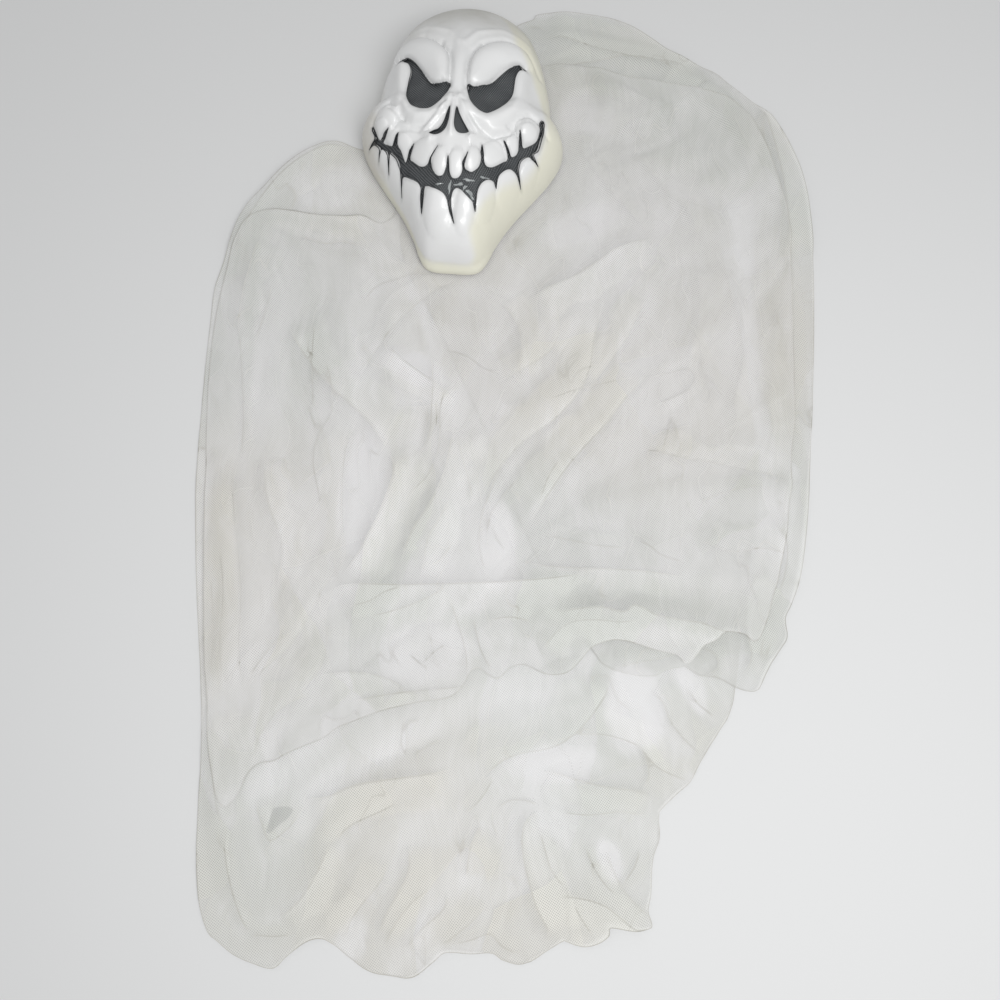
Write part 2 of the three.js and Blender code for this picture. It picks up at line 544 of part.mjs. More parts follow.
const capeFoldShares = [
  [[[-0.368, 0.137], [-0.31, 0.079], [-0.248, 0.041], [-0.193, -0.003]], 1],
  [[[-0.197, 0], [-0.2, -0.052], [-0.24, -0.108], [-0.264, -0.129]], 1],
  [[[-0.273, -0.131], [-0.268, -0.052], [-0.248, 0.031]], 0.6],
  [[[-0.248, 0.078], [-0.179, 0.141], [-0.091, 0.188]], 0.6],
  [[[-0.089, 0.05], [-0.177, 0.096], [-0.207, 0.113]], 0.6],
  [[[-0.092, 0.026], [-0.124, -0.052], [-0.162, -0.095], [-0.174, -0.119]], 1],
  [[[-0.094, -0.048], [-0.131, -0.093], [-0.142, -0.133]], 0.6],
  [[[0.243, 0.229], [0.148, 0.204], [0.025, 0.159]], 1],
  [[[-0.053, -0.06], [-0.01, -0.013], [0.065, 0.029], [0.126, 0.084], [0.153, 0.163]], 1],
  [[[0.023, -0.079], [0.08, -0.025], [0.147, 0.023], [0.229, 0.086]], 1],
  [[[0.124, 0.063], [0.186, 0.117], [0.226, 0.165]], 0.6],
  [[[-0.028, 0.069], [0.065, 0.106], [0.072, 0.154]], 0.6],
  [[[0.199, 0.002], [0.332, -0.015], [0.442, -0.031]], 0.6],
  [[[0.278, -0.131], [0.138, -0.122], [0.013, -0.113]], 0.6],
  [[[0.132, -0.125], [0.029, -0.133], [-0.111, -0.137], [-0.243, -0.137], [-0.294, -0.151]], 1],
  [[[-0.326, -0.244], [-0.283, -0.192], [-0.276, -0.145]], 0.6],
  [[[-0.405, -0.238], [-0.326, -0.184], [-0.268, -0.113]], 0.6],
  [[[-0.093, -0.137], [-0.18, -0.163], [-0.222, -0.17]], 0.6],
  [[[0.382, -0.194], [0.291, -0.175], [0.202, -0.161], [0.137, -0.16], [0.047, -0.157]], 1],
  [[[0.201, -0.172], [0.098, -0.174], [0.043, -0.208]], 0.6],
  [[[-0.411, -0.246], [-0.416, -0.153], [-0.445, -0.016]], 1],
  [[[-0.209, 0.257], [-0.353, 0.259], [-0.426, 0.257]], 0.6],
  [[[-0.411, 0.233], [-0.442, 0.161], [-0.448, 0.121]], 0.6],
  [[[-0.15, 0.193], [-0.218, 0.229], [-0.271, 0.298]], 0.6],
  [[[-0.394, -0.002], [-0.359, -0.098], [-0.366, -0.143]], 0.6],
  [[[-0.018, 0.161], [0.018, 0.106], [0.008, 0.078]], 0.6],
  [[[0.296, -0.093], [0.395, -0.101], [0.438, -0.109]], 0.6],
  [[[-0.14, -0.25], [-0.244, -0.223], [-0.296, -0.227]], 0.6],
  [[[-0.39, -0.31], [-0.346, -0.256], [-0.304, -0.244]], 0.6],
];

const inGown = (shares) => shares.map(([a, b]) => [a * gownWidth, b * gownLength]);

function insideOutline(x, y, outline) {
  let inside = false;
  for (let i = 0, j = outline.length - 1; i < outline.length; j = i, i += 1) {
    const [xi, yi] = outline[i];
    const [xj, yj] = outline[j];
    if ((yi > y) !== (yj > y) && x < (xj - xi) * (y - yi) / (yj - yi) + xi) inside = !inside;
  }
  return inside;
}

// Rise of one fold: soft on the left of its run, steep on the right, and fading at both ends
function foldRise(x, y, run, size) {
  let nearest = Infinity;
  let left = true;
  let along = 0;
  let length = 0;
  for (let i = 0; i + 1 < run.length; i += 1) {
    const [ax, ay] = run[i];
    const [bx, by] = run[i + 1];
    const [dx, dy] = [bx - ax, by - ay];
    const stretch = Math.hypot(dx, dy);
    const t = Math.min(1, Math.max(0, ((x - ax) * dx + (y - ay) * dy) / stretch ** 2));
    const [offX, offY] = [x - ax - t * dx, y - ay - t * dy];
    if (Math.hypot(offX, offY) < nearest) {
      nearest = Math.hypot(offX, offY);
      left = dx * offY > dy * offX;
      along = length + t * stretch;
    }
    length += stretch;
  }
  const reach = size * (left ? foldSoftReach : foldSteepReach);
  const toEnd = Math.min(along, length - along) / length;
  return size * foldHeight * bump(nearest, reach) * THREE.MathUtils.smoothstep(toEnd, 0, foldFadeShare);
}

// The net lies pressed flat under the mask, and its folds rise with the distance from the rim
function foldFreedom(x, y) {
  const c = Math.cos(maskLean * degree);
  const s = Math.sin(maskLean * degree);
  const dx = x - maskAcross;
  const dy = y - maskUp;
  const [u, v] = [dx * c + dy * s, dy * c - dx * s];
  const beyond = Math.hypot(u, v) - rimRadius(Math.atan2(u, v)) - pressedMargin;
  return THREE.MathUtils.smoothstep(beyond, 0, pressedFade);
}

// Sheets from the table up: each rests on the tops of those below it
const sheets = [
  { name: 'inner_gown', outline: inGown(innerGownShares), folds: innerFoldShares, color: 0xd8dad5 },
  { name: 'hood_veil', outline: inGown(hoodVeilShares), folds: hoodFoldShares, color: 0xc6c6c0 },
  { name: 'outer_cape', outline: inGown(outerCapeShares), folds: capeFoldShares, color: 0xd2d0c8 },
];
const columnStep = gownWidth / clothColumns;
const rowStep = gownLength / clothRows;
const clothNodes = [];
for (let row = -1; row <= clothRows + 1; row += 1) {
  for (let column = -1; column <= clothColumns + 1; column += 1) {
    clothNodes.push([column * columnStep - gownWidth / 2, row * rowStep - gownLength / 2]);
  }
}
const stackTops = clothNodes.map(() => 0);

function clothSheet({ outline, folds }) {
  const runs = folds.map(([run, size]) => [inGown(run), size]);
  const near = ([x, y]) => [-1, 0, 1].some((i) => [-1, 0, 1].some((j) => (
    insideOutline(x + i * columnStep, y + j * rowStep, outline))));
  const under = clothNodes.map(([x, y], k) => {
    const rises = runs.map(([run, size]) => foldRise(x, y, run, size));
    return stackTops[k] + Math.max(0, ...rises) * foldFreedom(x, y);
  });
  clothNodes.forEach((node, k) => {
    if (near(node)) stackTops[k] = under[k] + netThickness + layerGap;
  });
  const across = clothColumns + 3;
  const points = [...clothNodes.map(([x, y], k) => [x, y, under[k]]),
    ...clothNodes.map(([x, y], k) => [x, y, under[k] + netThickness])];
  const faces = [];
  const total = clothNodes.length;
  for (let row = 0; row < clothRows + 2; row += 1) {
    for (let column = 0; column < clothColumns + 2; column += 1) {
      const a = row * across + column;
      const [b, c, d] = [a + 1, a + 1 + across, a + across];
      faces.push([a, c, b], [a, d, c], [a + total, b + total, c + total], [a + total, c + total, d + total]);
    }
  }
  const border = [];
  for (let column = 0; column < across - 1; column += 1) border.push(column);
  for (let row = 0; row < clothRows + 2; row += 1) border.push(row * across + across - 1);
  for (let column = across - 1; column > 0; column -= 1) border.push((clothRows + 2) * across + column);
  for (let row = clothRows + 2; row > 0; row -= 1) border.push(row * across);
  border.forEach((a, k) => {
    const b = border[(k + 1) % border.length];
    faces.push([a, b, b + total], [a, b + total, a + total]);
  });
  const slab = solidOf(meshOf(points, faces));
  return slab.intersect(prism(outline, -cutOverrun, foldHeight * sheets.length + cutOverrun));
}

// Finishes
const finish = {
  ivory: new THREE.MeshStandardMaterial({ color: 0xe6e5da, roughness: 0.35, metalness: 0 }),
  blackNet: new THREE.MeshStandardMaterial({ color: 0x2a2d30, roughness: 0.9, metalness: 0 }),
  glue: new THREE.MeshStandardMaterial({ color: 0xd9dcd6, roughness: 0.2, metalness: 0 }),
  band: new THREE.MeshStandardMaterial({ color: 0xcfcdc5, roughness: 0.9, metalness: 0 }),
};

const group = new THREE.Group();

function add(parent, name, solid, material) {
  const mesh = new THREE.Mesh(solid.isBufferGeometry ? solid : geometryOf(solid), material);
  mesh.name = name;
  parent.add(mesh);
}

// Gown on the table
for (const sheet of sheets) {
  const net = new THREE.MeshStandardMaterial({ color: sheet.color, roughness: 0.85, metalness: 0 });
  add(group, sheet.name, clothSheet(sheet), net);
}

// Mask on the stack of sheets, leaning a little to the right
const mask = new THREE.Group();
mask.position.set(maskAcross, maskUp, sheets.length * (netThickness + layerGap) - layerGap + seatGap);
mask.rotation.z = maskLean * degree;
add(mask, 'mask_shell', maskShell(), finish.ivory);
add(mask, 'eye_net_left', netPatch(leftEyePatchShares), finish.blackNet);
add(mask, 'eye_net_right', netPatch(rightEyePatchShares), finish.blackNet);
add(mask, 'nose_net', netPatch(nosePatchShares), finish.blackNet);
add(mask, 'grin_net', netPatch(grinPatchShares), finish.blackNet);
add(mask, 'eye_glue_left', glueBead(leftEyePatchShares), finish.glue);
add(mask, 'eye_glue_right', glueBead(rightEyePatchShares), finish.glue);
add(mask, 'nose_glue', glueBead(nosePatchShares), finish.glue);
add(mask, 'grin_glue', glueBead(grinPatchShares), finish.glue);
add(mask, 'veil_band_left', headerBand(-1), finish.band);
add(mask, 'veil_band_right', headerBand(1), finish.band);
group.add(mask);

export default group;
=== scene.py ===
import math

import bpy
import numpy as np
from mathutils import Matrix, Vector
from mathutils.geometry import delaunay_2d_cdt


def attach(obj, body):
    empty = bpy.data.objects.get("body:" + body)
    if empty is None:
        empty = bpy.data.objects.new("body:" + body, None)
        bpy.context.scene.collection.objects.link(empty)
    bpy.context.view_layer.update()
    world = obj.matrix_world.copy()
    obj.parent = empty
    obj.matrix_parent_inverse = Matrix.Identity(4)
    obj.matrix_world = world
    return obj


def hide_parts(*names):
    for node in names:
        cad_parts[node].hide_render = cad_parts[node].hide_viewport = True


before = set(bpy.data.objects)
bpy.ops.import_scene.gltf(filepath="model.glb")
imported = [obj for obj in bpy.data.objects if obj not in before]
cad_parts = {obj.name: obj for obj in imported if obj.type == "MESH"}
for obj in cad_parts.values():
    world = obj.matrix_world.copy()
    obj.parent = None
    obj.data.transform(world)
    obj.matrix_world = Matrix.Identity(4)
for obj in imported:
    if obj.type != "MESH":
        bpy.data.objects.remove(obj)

bpy.ops.object.select_all(action="DESELECT")
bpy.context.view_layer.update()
mm = 0.001


# Camera: the photograph was taken by hand from 0.70 m above the table, close to the foot of the
# gown and tilted 9 degrees towards the head. The frame is square.
camera_place = (-10 * mm, -155.5 * mm, 699.4 * mm)
camera_tilt = 8.925
focal_pixels = 800
frame_pixels = 1000
film_width = 36

bpy.ops.object.camera_add(location=camera_place, rotation=(math.radians(camera_tilt), 0, 0))
camera = bpy.context.object
camera.name = "camera"
camera.data.sensor_width = film_width
camera.data.lens = film_width * focal_pixels / frame_pixels
bpy.context.scene.camera = camera
bpy.context.scene.view_settings.view_transform = "Standard"


# Table: a plain pale board. A large soft lamp lights it from the foot, a weaker one from behind the
# head and a small one from beside the camera, in an even white world.
class Shade:
    """A shader socket that takes plain arithmetic, and adds any other node by its type."""

    def __init__(self, tree, socket=None):
        self.tree = tree
        self.socket = socket

    def node(self, kind, settings=(), out=0, **values):
        """Adds a node: its settings first, then the values or links of its sockets."""
        made = self.tree.nodes.new(kind)
        for name, value in dict(settings).items():
            setattr(made, name, value)
        for name, value in values.items():
            socket = made.inputs[int(name[1:]) if name[1:].isdigit() else name]
            if isinstance(value, Shade):
                self.tree.links.new(value.socket, socket)
            else:
                socket.default_value = value
        return Shade(self.tree, made.outputs[out])

    def on_piece(self, out=3):
        """The place on the piece, or with output 1 the way that its surface faces."""
        return self.node("ShaderNodeTexCoord", out=out)

    def stored(self, name):
        """The number that a piece keeps under this name at each vertex."""
        return self.node("ShaderNodeAttribute", {"attribute_name": name}, out=2)

    def noise(self, place, scale, detail, out=0):
        """Soft random swells, about this many to the metre."""
        return self.node("ShaderNodeTexNoise", out=out, Vector=place, Scale=scale, Detail=detail)

    def turned(self, place, turn, scale=(1, 1, 1)):
        """Places turned flat by an angle; a scale under 1 stretches the pattern on them."""
        return self.node("ShaderNodeMapping", Vector=place, Rotation=(0, 0, turn), Scale=scale)

    def cell_walls(self, place, size, randomness=1.0):
        """Distance from the walls of flat cells, as a share of their size."""
        kind = {"feature": "DISTANCE_TO_EDGE", "voronoi_dimensions": "2D"}
        return self.node("ShaderNodeTexVoronoi", kind, Vector=place, Scale=1 / size,
                         Randomness=randomness)

    def bump(self, strength, distance):
        """The normal of a surface raised by this much."""
        return self.node("ShaderNodeBump", Strength=strength, Distance=distance, Height=self)

    def maths(self, operation, *values):
        numbered = {f"i{k}": value for k, value in enumerate(values)}
        return self.node("ShaderNodeMath", {"operation": operation}, **numbered)

    def __add__(self, other):
        return self.maths("ADD", self, other)

    def __radd__(self, other):
        return self.maths("ADD", other, self)

    def __sub__(self, other):
        return self.maths("SUBTRACT", self, other)

    def __rsub__(self, other):
        return self.maths("SUBTRACT", other, self)

    def __mul__(self, other):
        return self.maths("MULTIPLY", self, other)

    def __rmul__(self, other):
        return self.maths("MULTIPLY", other, self)

    def size(self):
        """The number without its sign."""
        return self.maths("ABSOLUTE", self)

    def at_most(self, limit):
        return self.maths("MINIMUM", self, limit)

    def between(self, low, high):
        """0 at low and under, 1 at high and over, smooth from one to the other."""
        return self.node("ShaderNodeMapRange", {"interpolation_type": "SMOOTHSTEP"},
                         i0=self, i1=low, i2=high)

    def mix(self, first, second):
        """Colour between two, by this share of the second."""
        return self.node("ShaderNodeMix", {"data_type": "RGBA"}, out=2, i0=self,
                         i6=first if isinstance(first, Shade) else (*first, 1),
                         i7=second if isinstance(second, Shade) else (*second, 1))


def new_finish(name):
    """A material, the start of its shades and its Principled shader."""
    finish = bpy.data.materials.new(name)
    finish.use_nodes = True
    return finish, Shade(finish.node_tree), finish.node_tree.nodes["Principled BSDF"]


def feed(principled, **values):
    """Sets or links the sockets of a Principled shader by name."""
    tree = principled.id_data
    for name, value in values.items():
        socket = principled.inputs[name.replace("_", " ")]
        if isinstance(value, Shade):
            tree.links.new(value.socket, socket)
        else:
            socket.default_value = (*value, 1) if isinstance(value, tuple) else value


board_size = 12
board_colour = (0.685, 0.69, 0.692)
key_power = 13.6
fill_power = 2.3
hand_power = 0.8
world_strength = 0.46

bpy.ops.mesh.primitive_plane_add(size=board_size, location=(0, 0, 0))
board = bpy.context.object
board.name = "table"
board_finish, shade, principled = new_finish("table")
feed(principled, Base_Color=board_colour, Roughness=0.7, Specular_IOR_Level=0.2)
board.data.materials.append(board_finish)

# each lamp's place in metres, width and power
for name, place, size, power in (
    ("foot_lamp", (0.48, -0.56, 1.4), 0.8, key_power),
    ("head_lamp", (-0.8, 0.9, 1.7), 1.2, fill_power),
    ("hand_lamp", (-0.04, -0.22, 0.76), 0.07, hand_power),
):
    bpy.ops.object.light_add(type="AREA", location=place)
    lamp = bpy.context.object
    lamp.name = name
    lamp.data.size = size
    lamp.data.energy = power
    lamp.rotation_euler = (-Vector(place)).to_track_quat("-Z", "Y").to_euler()

world = bpy.data.worlds.new("soft_white")
bpy.context.scene.world = world
world.use_nodes = True
background = world.node_tree.nodes["Background"]
background.inputs["Color"].default_value = (1, 1, 1, 1)
background.inputs["Strength"].default_value = world_strength


# Mask shell: half a skull, vacuum moulded in ivory plastic about 2 mm thick and sprayed white from
# the front, with its holes trimmed out by hand and their edges inked. It is a dome over a rim
# outline, with the face raised on it.
mask_width = 188 * mm
mask_height = 256 * mm
mask_depth = 76 * mm
mask_wall = 1.8 * mm
mask_place = Vector((-45 * mm, 286.3 * mm, 4.6 * mm))
mask_lean = -4.2
# the power flattens the dome, and the relief fades out where the dome's level falls to the rim
dome_power = 0.9
relief_growth = 2.5
chin_lip = 2.6 * mm
lip_turns = (158, 168)
lip_heights = (3 * mm, 13 * mm)
sharp_edge = 50
face_spokes = 320
face_rings = 110

# half width and height of the rim, as shares of the mask, from the crown to the chin
rim_shares = (
    (0, 0.531), (0.23, 0.518), (0.45, 0.477), (0.61, 0.418), (0.71, 0.344), (0.785, 0.258),
    (0.84, 0.172), (0.875, 0.094), (0.957, 0.055), (1, 0.008), (0.98, -0.039), (0.885, -0.109),
    (0.755, -0.176), (0.617, -0.242), (0.5, -0.305), (0.405, -0.367), (0.33, -0.422),
    (0.235, -0.461), (0, -0.469),
)
rim_points = np.array(rim_shares) * (mask_width / 2, mask_height)
rim_turns = np.arctan2(rim_points[:, 0], rim_points[:, 1])
rim_reaches = np.hypot(rim_points[:, 0], rim_points[:, 1])
rim_slopes = np.zeros(len(rim_turns))
rim_slopes[1:-1] = (rim_reaches[2:] - rim_reaches[:-2]) / (rim_turns[2:] - rim_turns[:-2])


def rim_reach(turn):
    """Distance from the middle of the face to the rim, by the turn from the crown."""
    wanted = np.abs(np.arctan2(np.sin(turn), np.cos(turn)))
    k = np.clip(np.searchsorted(rim_turns, wanted, side="right") - 1, 0, len(rim_turns) - 2)
    span = rim_turns[k + 1] - rim_turns[k]
    t = (wanted - rim_turns[k]) / span
    rest = 1 - t
    return (rim_reaches[k] * rest**2 * (1 + 2 * t) + rim_slopes[k] * span * t * rest**2
            + rim_reaches[k + 1] * t**2 * (3 - 2 * t) - rim_slopes[k + 1] * span * t**2 * rest)


def smooth(value, low, high):
    """0 at low, 1 at high, smooth between them."""
    t = np.clip((value - low) / (high - low), 0, 1)
    return t * t * (3 - 2 * t)


def rounded(outline, steps=6):
    """A closed outline in millimetres, rounded through its points and given in metres."""
    points = np.array(outline, float) * mm
    before, after, far = np.roll(points, 1, 0), np.roll(points, -1, 0), np.roll(points, -2, 0)
    parts = []
    for t in np.arange(steps) / steps:
        parts.append(0.5 * (2 * points + (after - before) * t
                            + (2 * before - 5 * points + 4 * after - far) * t**2
                            + (3 * points - before - 3 * after + far) * t**3))
    return np.stack(parts, 1).reshape(-1, 2)


def run_distance(u, v, run, closed=False):
    """Distance of each point from a run of straight stretches."""
    run = np.array(run, float)
    ends = np.roll(run, -1, 0) if closed else run[1:]
    nearest = np.full(u.shape, 1.0)
    for (ax, ay), (bx, by) in zip(run if closed else run[:-1], ends):
        dx, dy = bx - ax, by - ay
        t = np.clip(((u - ax) * dx + (v - ay) * dy) / max(dx * dx + dy * dy, 1e-12), 0, 1)
        nearest = np.minimum(nearest, np.hypot(u - ax - t * dx, v - ay - t * dy))
    return nearest


def depth_inside(u, v, outline):
    """Distance from a closed outline, positive inside it and negative outside."""
    inside = np.zeros(u.shape, bool)
    for (ax, ay), (bx, by) in zip(outline, np.roll(outline, -1, 0)):
        if ay == by:
            continue
        crosses = (ay > v) != (by > v)
        inside ^= crosses & (u < (bx - ax) * (v - ay) / (by - ay) + ax)
    return np.where(inside, 1, -1) * run_distance(u, v, outline, closed=True)


def pillow(depth, soft):
    """Quarter-round rise from an edge: 0 at the edge, 1 from the soft width inwards."""
    t = np.clip(depth / soft, 0, 1)
    return np.sqrt(1 - (1 - t) ** 2)


# brow pads, in millimetres from the middle of the face, across and up
brow_outlines = (
    ((-11, 18), (-11, 32), (-13, 46), (-22, 58), (-36, 67), (-52, 71), (-64, 67), (-68, 59),
     (-60, 55), (-49, 49), (-43, 43), (-35, 32), (-28, 22), (-20, 16)),
    ((6, 18), (6, 32), (9, 47), (17, 58), (31, 67), (47, 71), (58, 66), (63, 56),
     (54, 50), (45, 46), (35, 38), (28, 28), (21, 18), (13, 15)),
)
brow_rise = 7.5 * mm
brow_soft = 13 * mm
# soft swellings and hollows: across, up, half width, half height, turn, rise
swellings = (
    (-4, -14, 24, 26, 0, 3.4), (-3, 40, 9, 42, 0, 3.0), (3, -106, 30, 20, 0, 6.0),
    (-45, -24, 26, 14, 20, 3.0), (40, -24, 26, 14, -20, 3.0), (-3, -45, 58, 26, 0, 4.6),
    (-36, 22, 26, 34, 15, -4.5), (29, 20, 26, 32, -15, -4.5), (-70, 32, 12, 24, 0, -3.0),
    (66, 30, 12, 24, 0, -3.0), (-3, 112, 90, 44, 0, -2.5), (-50, -82, 15, 20, 35, -3.0),
    (48, -82, 15, 20, -35, -3.0),
)
# round cheek balls and the tooth-like lobes above and below the grin
cheek_balls = ((-64, -10, 12, 12, 0, 7.0), (62, -14, 13, 11.5, 0, 7.0))
upper_lobes = (
    (-68, -17, 6, 8, 40, 2.4), (-58, -26, 5.4, 8.5, 25, 2.8), (-46, -37, 7.8, 12, 15, 3.4),
    (-28, -46, 11, 13, 5, 3.8), (-11.5, -56, 7.4, 13, 4, 3.8), (2.5, -57, 7.8, 13, -2, 3.8),
    (16.5, -52, 7.4, 12, -5, 3.6), (32.5, -42, 10, 12, -12, 3.6), (48, -30, 7.2, 10, -18, 3.0),
    (62, -18, 8.4, 9.5, -25, 2.8),
)
lower_lobes = (
    (-66, -39, 4.4, 11, 25, 2.6), (-54, -55, 6.2, 15, 22, 3.0), (-38, -73, 9.3, 20, 14, 3.2),
    (-13, -87, 12.8, 22, 3, 3.2), (11, -88, 8.4, 20, -4, 3.0), (28, -76, 7.8, 18, -10, 3.2),
    (46, -59, 8.8, 15, -20, 3.0), (64, -41, 5.8, 12, -28, 2.6),
)
# raised lids and nose wings, then sunk creases: width, rise, points
strokes = (
    (5.0, 3.4, (-58, 46), (-56, 34), (-54, 18), (-53, 4), (-46, -7), (-36, -13), (-25, -14), (-14, -10)),
    (5.0, 3.4, (54, 42), (52, 30), (51, 14), (47, 1), (38, -8), (26, -15), (15, -13), (7, -6)),
    (3.2, 4.0, (-7, 2), (-13, -9), (-21, -19), (-28, -27), (-22, -34)),
    (3.2, 4.0, (1, 2), (6, -9), (12, -19), (18, -27), (12, -34)),
    (2.4, 3.2, (-4, -2), (-4.5, -31)),
    (2.6, -3.2, (-60, -2), (-50, -11), (-40, -19), (-28, -21), (-18, -14), (-12, -4)),
    (2.6, -3.2, (4, -2), (9, -13), (20, -22), (32, -26), (44, -20), (55, -7)),
    (2.2, -3.0, (-78, -6), (-72, 3), (-62, 6), (-52, 0), (-47, -12)),
    (2.2, -3.0, (44, -15), (51, -4), (61, 1), (71, -1), (78, -8)),
    (2.2, -3.2, (-9.5, 14), (-9.5, 34), (-12, 47), (-21, 59)),
    (2.2, -3.2, (4.5, 14), (4.5, 34), (7, 47), (16, 59)),
    (3.0, -3.0, (-71, 58), (-60, 71), (-38, 71), (-21, 60)),
    (3.0, -3.0, (67, 54), (56, 70), (34, 71), (16, 60)),
    (3.0, 1.6, (-60, 82), (-36, 84), (-14, 74), (-6, 60)),
    (3.0, 1.6, (56, 80), (32, 84), (10, 74), (1, 60)),
    (2.6, -2.4, (-27, -27), (-38, -24), (-50, -22)),
    (2.6, -2.4, (16, -28), (30, -27), (44, -22)),
)


def turned_back(u, v, turn):
    """Places as seen from axes that are turned by this many degrees."""
    c, s = math.cos(math.radians(turn)), math.sin(math.radians(turn))
    return u * c + v * s, v * c - u * s


def ellipse_share(u, v, shape):
    """Distance from the middle of a turned ellipse, 1 on its edge."""
    across, up, wide, high, turn, _ = shape
    along, aside = turned_back(u - across * mm, v - up * mm, turn)
    return np.hypot(along / (wide * mm), aside / (high * mm))


def face_relief(u, v):
    """Height of the moulded face above the plain dome."""
    height = np.zeros(u.shape)
    for shape in swellings:
        height += shape[5] * mm * np.clip(1 - ellipse_share(u, v, shape) ** 2, 0, 1) ** 2
    for outline in brow_outlines:
        height += brow_rise * pillow(depth_inside(u, v, rounded(outline)), brow_soft)
    for lobes in (cheek_balls, upper_lobes, lower_lobes):
        rise = np.zeros(u.shape)
        for shape in lobes:
            round_rise = np.sqrt(np.clip(1 - ellipse_share(u, v, shape) ** 2, 0, 1))
            rise = np.maximum(rise, shape[5] * mm * round_rise)
        height += rise
    for width, rise, *run in strokes:
        away = run_distance(u, v, np.array(run) * mm) / (width * mm)
        height += rise * mm * np.exp(-away**2)
    return height


def face_height(u, v):
    """Height of the mask's outer face over any point inside its rim."""
    share = np.hypot(u, v) / rim_reach(np.arctan2(u, v))
    level = np.sqrt(np.clip(1 - share**2, 0, 1)) ** dome_power
    return mask_depth * level + np.minimum(1, relief_growth * level) * face_relief(u, v)


# holes for the eyes, the nostrils and the grin, in millimetres from the middle of the face
left_eye = (
    (-60, 49), (-54, 51), (-47, 47), (-38, 36), (-29, 22), (-24, 17), (-16, 15.5), (-9, 17),
    (-10, 8), (-17, -2.5), (-24, -7.5), (-33, -7), (-42, -2), (-47, 10), (-47, 25), (-46, 36),
    (-49, 44), (-54, 47),
)
right_eye = (
    (6, 16), (11, 14), (19, 17), (26, 23), (33, 32), (41, 42), (49, 48), (55, 46),
    (49, 43), (46, 34), (45, 19), (42, 9), (36, 0), (26, -8.5), (19, -8), (12, -3), (8.5, 4),
)
left_nostril = (
    (-6.5, -9.5), (-6.5, -17), (-7.5, -22.5), (-9.5, -27.5), (-13, -30.5), (-19, -31.5), (-22.5, -31),
    (-20, -28), (-15.5, -27), (-12.5, -24), (-10.5, -20), (-8.5, -14),
)
right_nostril = (
    (-0.8, -9.5), (-1.8, -19.5), (-1.5, -25.5), (0.5, -29.5), (3.5, -31), (7.5, -30.5), (10.5, -28.5),
    (8, -24.5), (4.8, -20), (1.6, -14.5),
)
# the grin runs from its left end along the upper teeth, and back along the lower ones
grin = (
    (-77.5, -9), (-72.5, -19.5), (-69.5, -23.5), (-66, -22), (-60.5, -20), (-64, -23.5), (-66.5, -26),
    (-62.5, -29.5), (-57.5, -33), (-55, -31), (-51.5, -24), (-52, -33.5), (-48.5, -39), (-45.5, -45.5),
    (-43.5, -48.5), (-41.5, -45.5), (-40, -41), (-36.5, -35.5), (-38.5, -42.5), (-39.5, -47),
    (-36.5, -50.5), (-30.5, -55.5), (-25.5, -57), (-22, -55.5), (-20.5, -52), (-14.5, -42.5),
    (-18.5, -49.5), (-20, -53.5), (-18, -61), (-13, -66.5), (-8.5, -65.5), (-6.5, -62), (-5.5, -58),
    (-5, -51.5), (-4, -58), (-3.5, -62.5), (-1.5, -66.5), (1.5, -67.5), (5, -66.5), (7.5, -63),
    (8, -59.5), (7.5, -56), (11.5, -47.5), (9.5, -54), (9, -58.5), (12, -61), (16, -61.5), (20.5, -57.5),
    (22.5, -53), (23, -47.5), (22, -44), (22.5, -36.5), (24.5, -45), (25, -50), (27.5, -52.5), (32, -52),
    (37, -48.5), (42, -43.5), (44.5, -40.5), (44.5, -37), (40.5, -28.5), (45, -34), (47, -37.5),
    (49, -37.5), (52, -35), (53.5, -31.5), (53.5, -27), (53.5, -17.5), (55.5, -23.5), (57, -27),
    (60.5, -26), (65.5, -23.5), (69, -19.5), (70.5, -14), (71, -8.5), (70, 0), (73.5, 2.5),
    (74.5, -3), (73, -14.5), (71, -22), (68, -25), (67, -27.5), (71.5, -31.5), (65.5, -30.5), (63, -30),
    (59.5, -32.5), (56, -36.5), (55, -40.5), (55, -44), (57.5, -52.5), (54, -47), (50.5, -45.5),
    (47, -45.5), (43, -48), (39, -52), (37, -56.5), (36.5, -63.5), (34.5, -60), (31.5, -60), (28, -61.5),
    (24, -65), (21.5, -70), (20.5, -75.5), (20, -87.5), (18, -82), (14.5, -80), (11, -77.5), (7, -74),
    (3.5, -72.5), (0.5, -74.5), (-1, -79), (-1, -86), (2.5, -99), (-2, -90.5), (-4, -83), (-7, -78.5),
    (-11.5, -76), (-17.5, -73.5), (-24.5, -69.5), (-25.5, -77), (-27, -89), (-28.5, -77), (-28.5, -69),
    (-32.5, -64.5), (-38, -61), (-44, -57), (-47, -56.5), (-48, -67.5), (-48.5, -54), (-50.5, -47),
    (-53.5, -41), (-57.5, -37), (-60, -36), (-61, -48), (-62, -36), (-65.5, -31), (-68.5, -29.5),
    (-71.5, -35), (-70.5, -28.5), (-73, -25), (-76.5, -22), (-82.5, -21), (-76.5, -19.5), (-75.5, -17),
    (-78.5, -11.5),
)
hole_outlines = (left_eye, right_eye, left_nostril, right_nostril, grin)
hole_shapes = [rounded(outline, 2 if outline is grin else 4) for outline in hole_outlines]


def points_of(piece):
    """Vertex places of a mesh as an array."""
    flat = np.empty(len(piece.data.vertices) * 3)
    piece.data.vertices.foreach_get("co", flat)
    return flat.reshape(-1, 3)


def move_points(piece, places):
    """Puts the vertices of a mesh at new places."""
    piece.data.vertices.foreach_set("co", np.ascontiguousarray(places, float).ravel())
    piece.data.update()


def store(piece, **fields):
    """Keeps numbers at each vertex by name, for the piece's material to read."""
    for name, values in fields.items():
        kept = np.empty(len(piece.data.vertices), np.float32)
        kept[:] = values
        piece.data.attributes.new(name, "FLOAT", "POINT").data.foreach_set("value", kept)


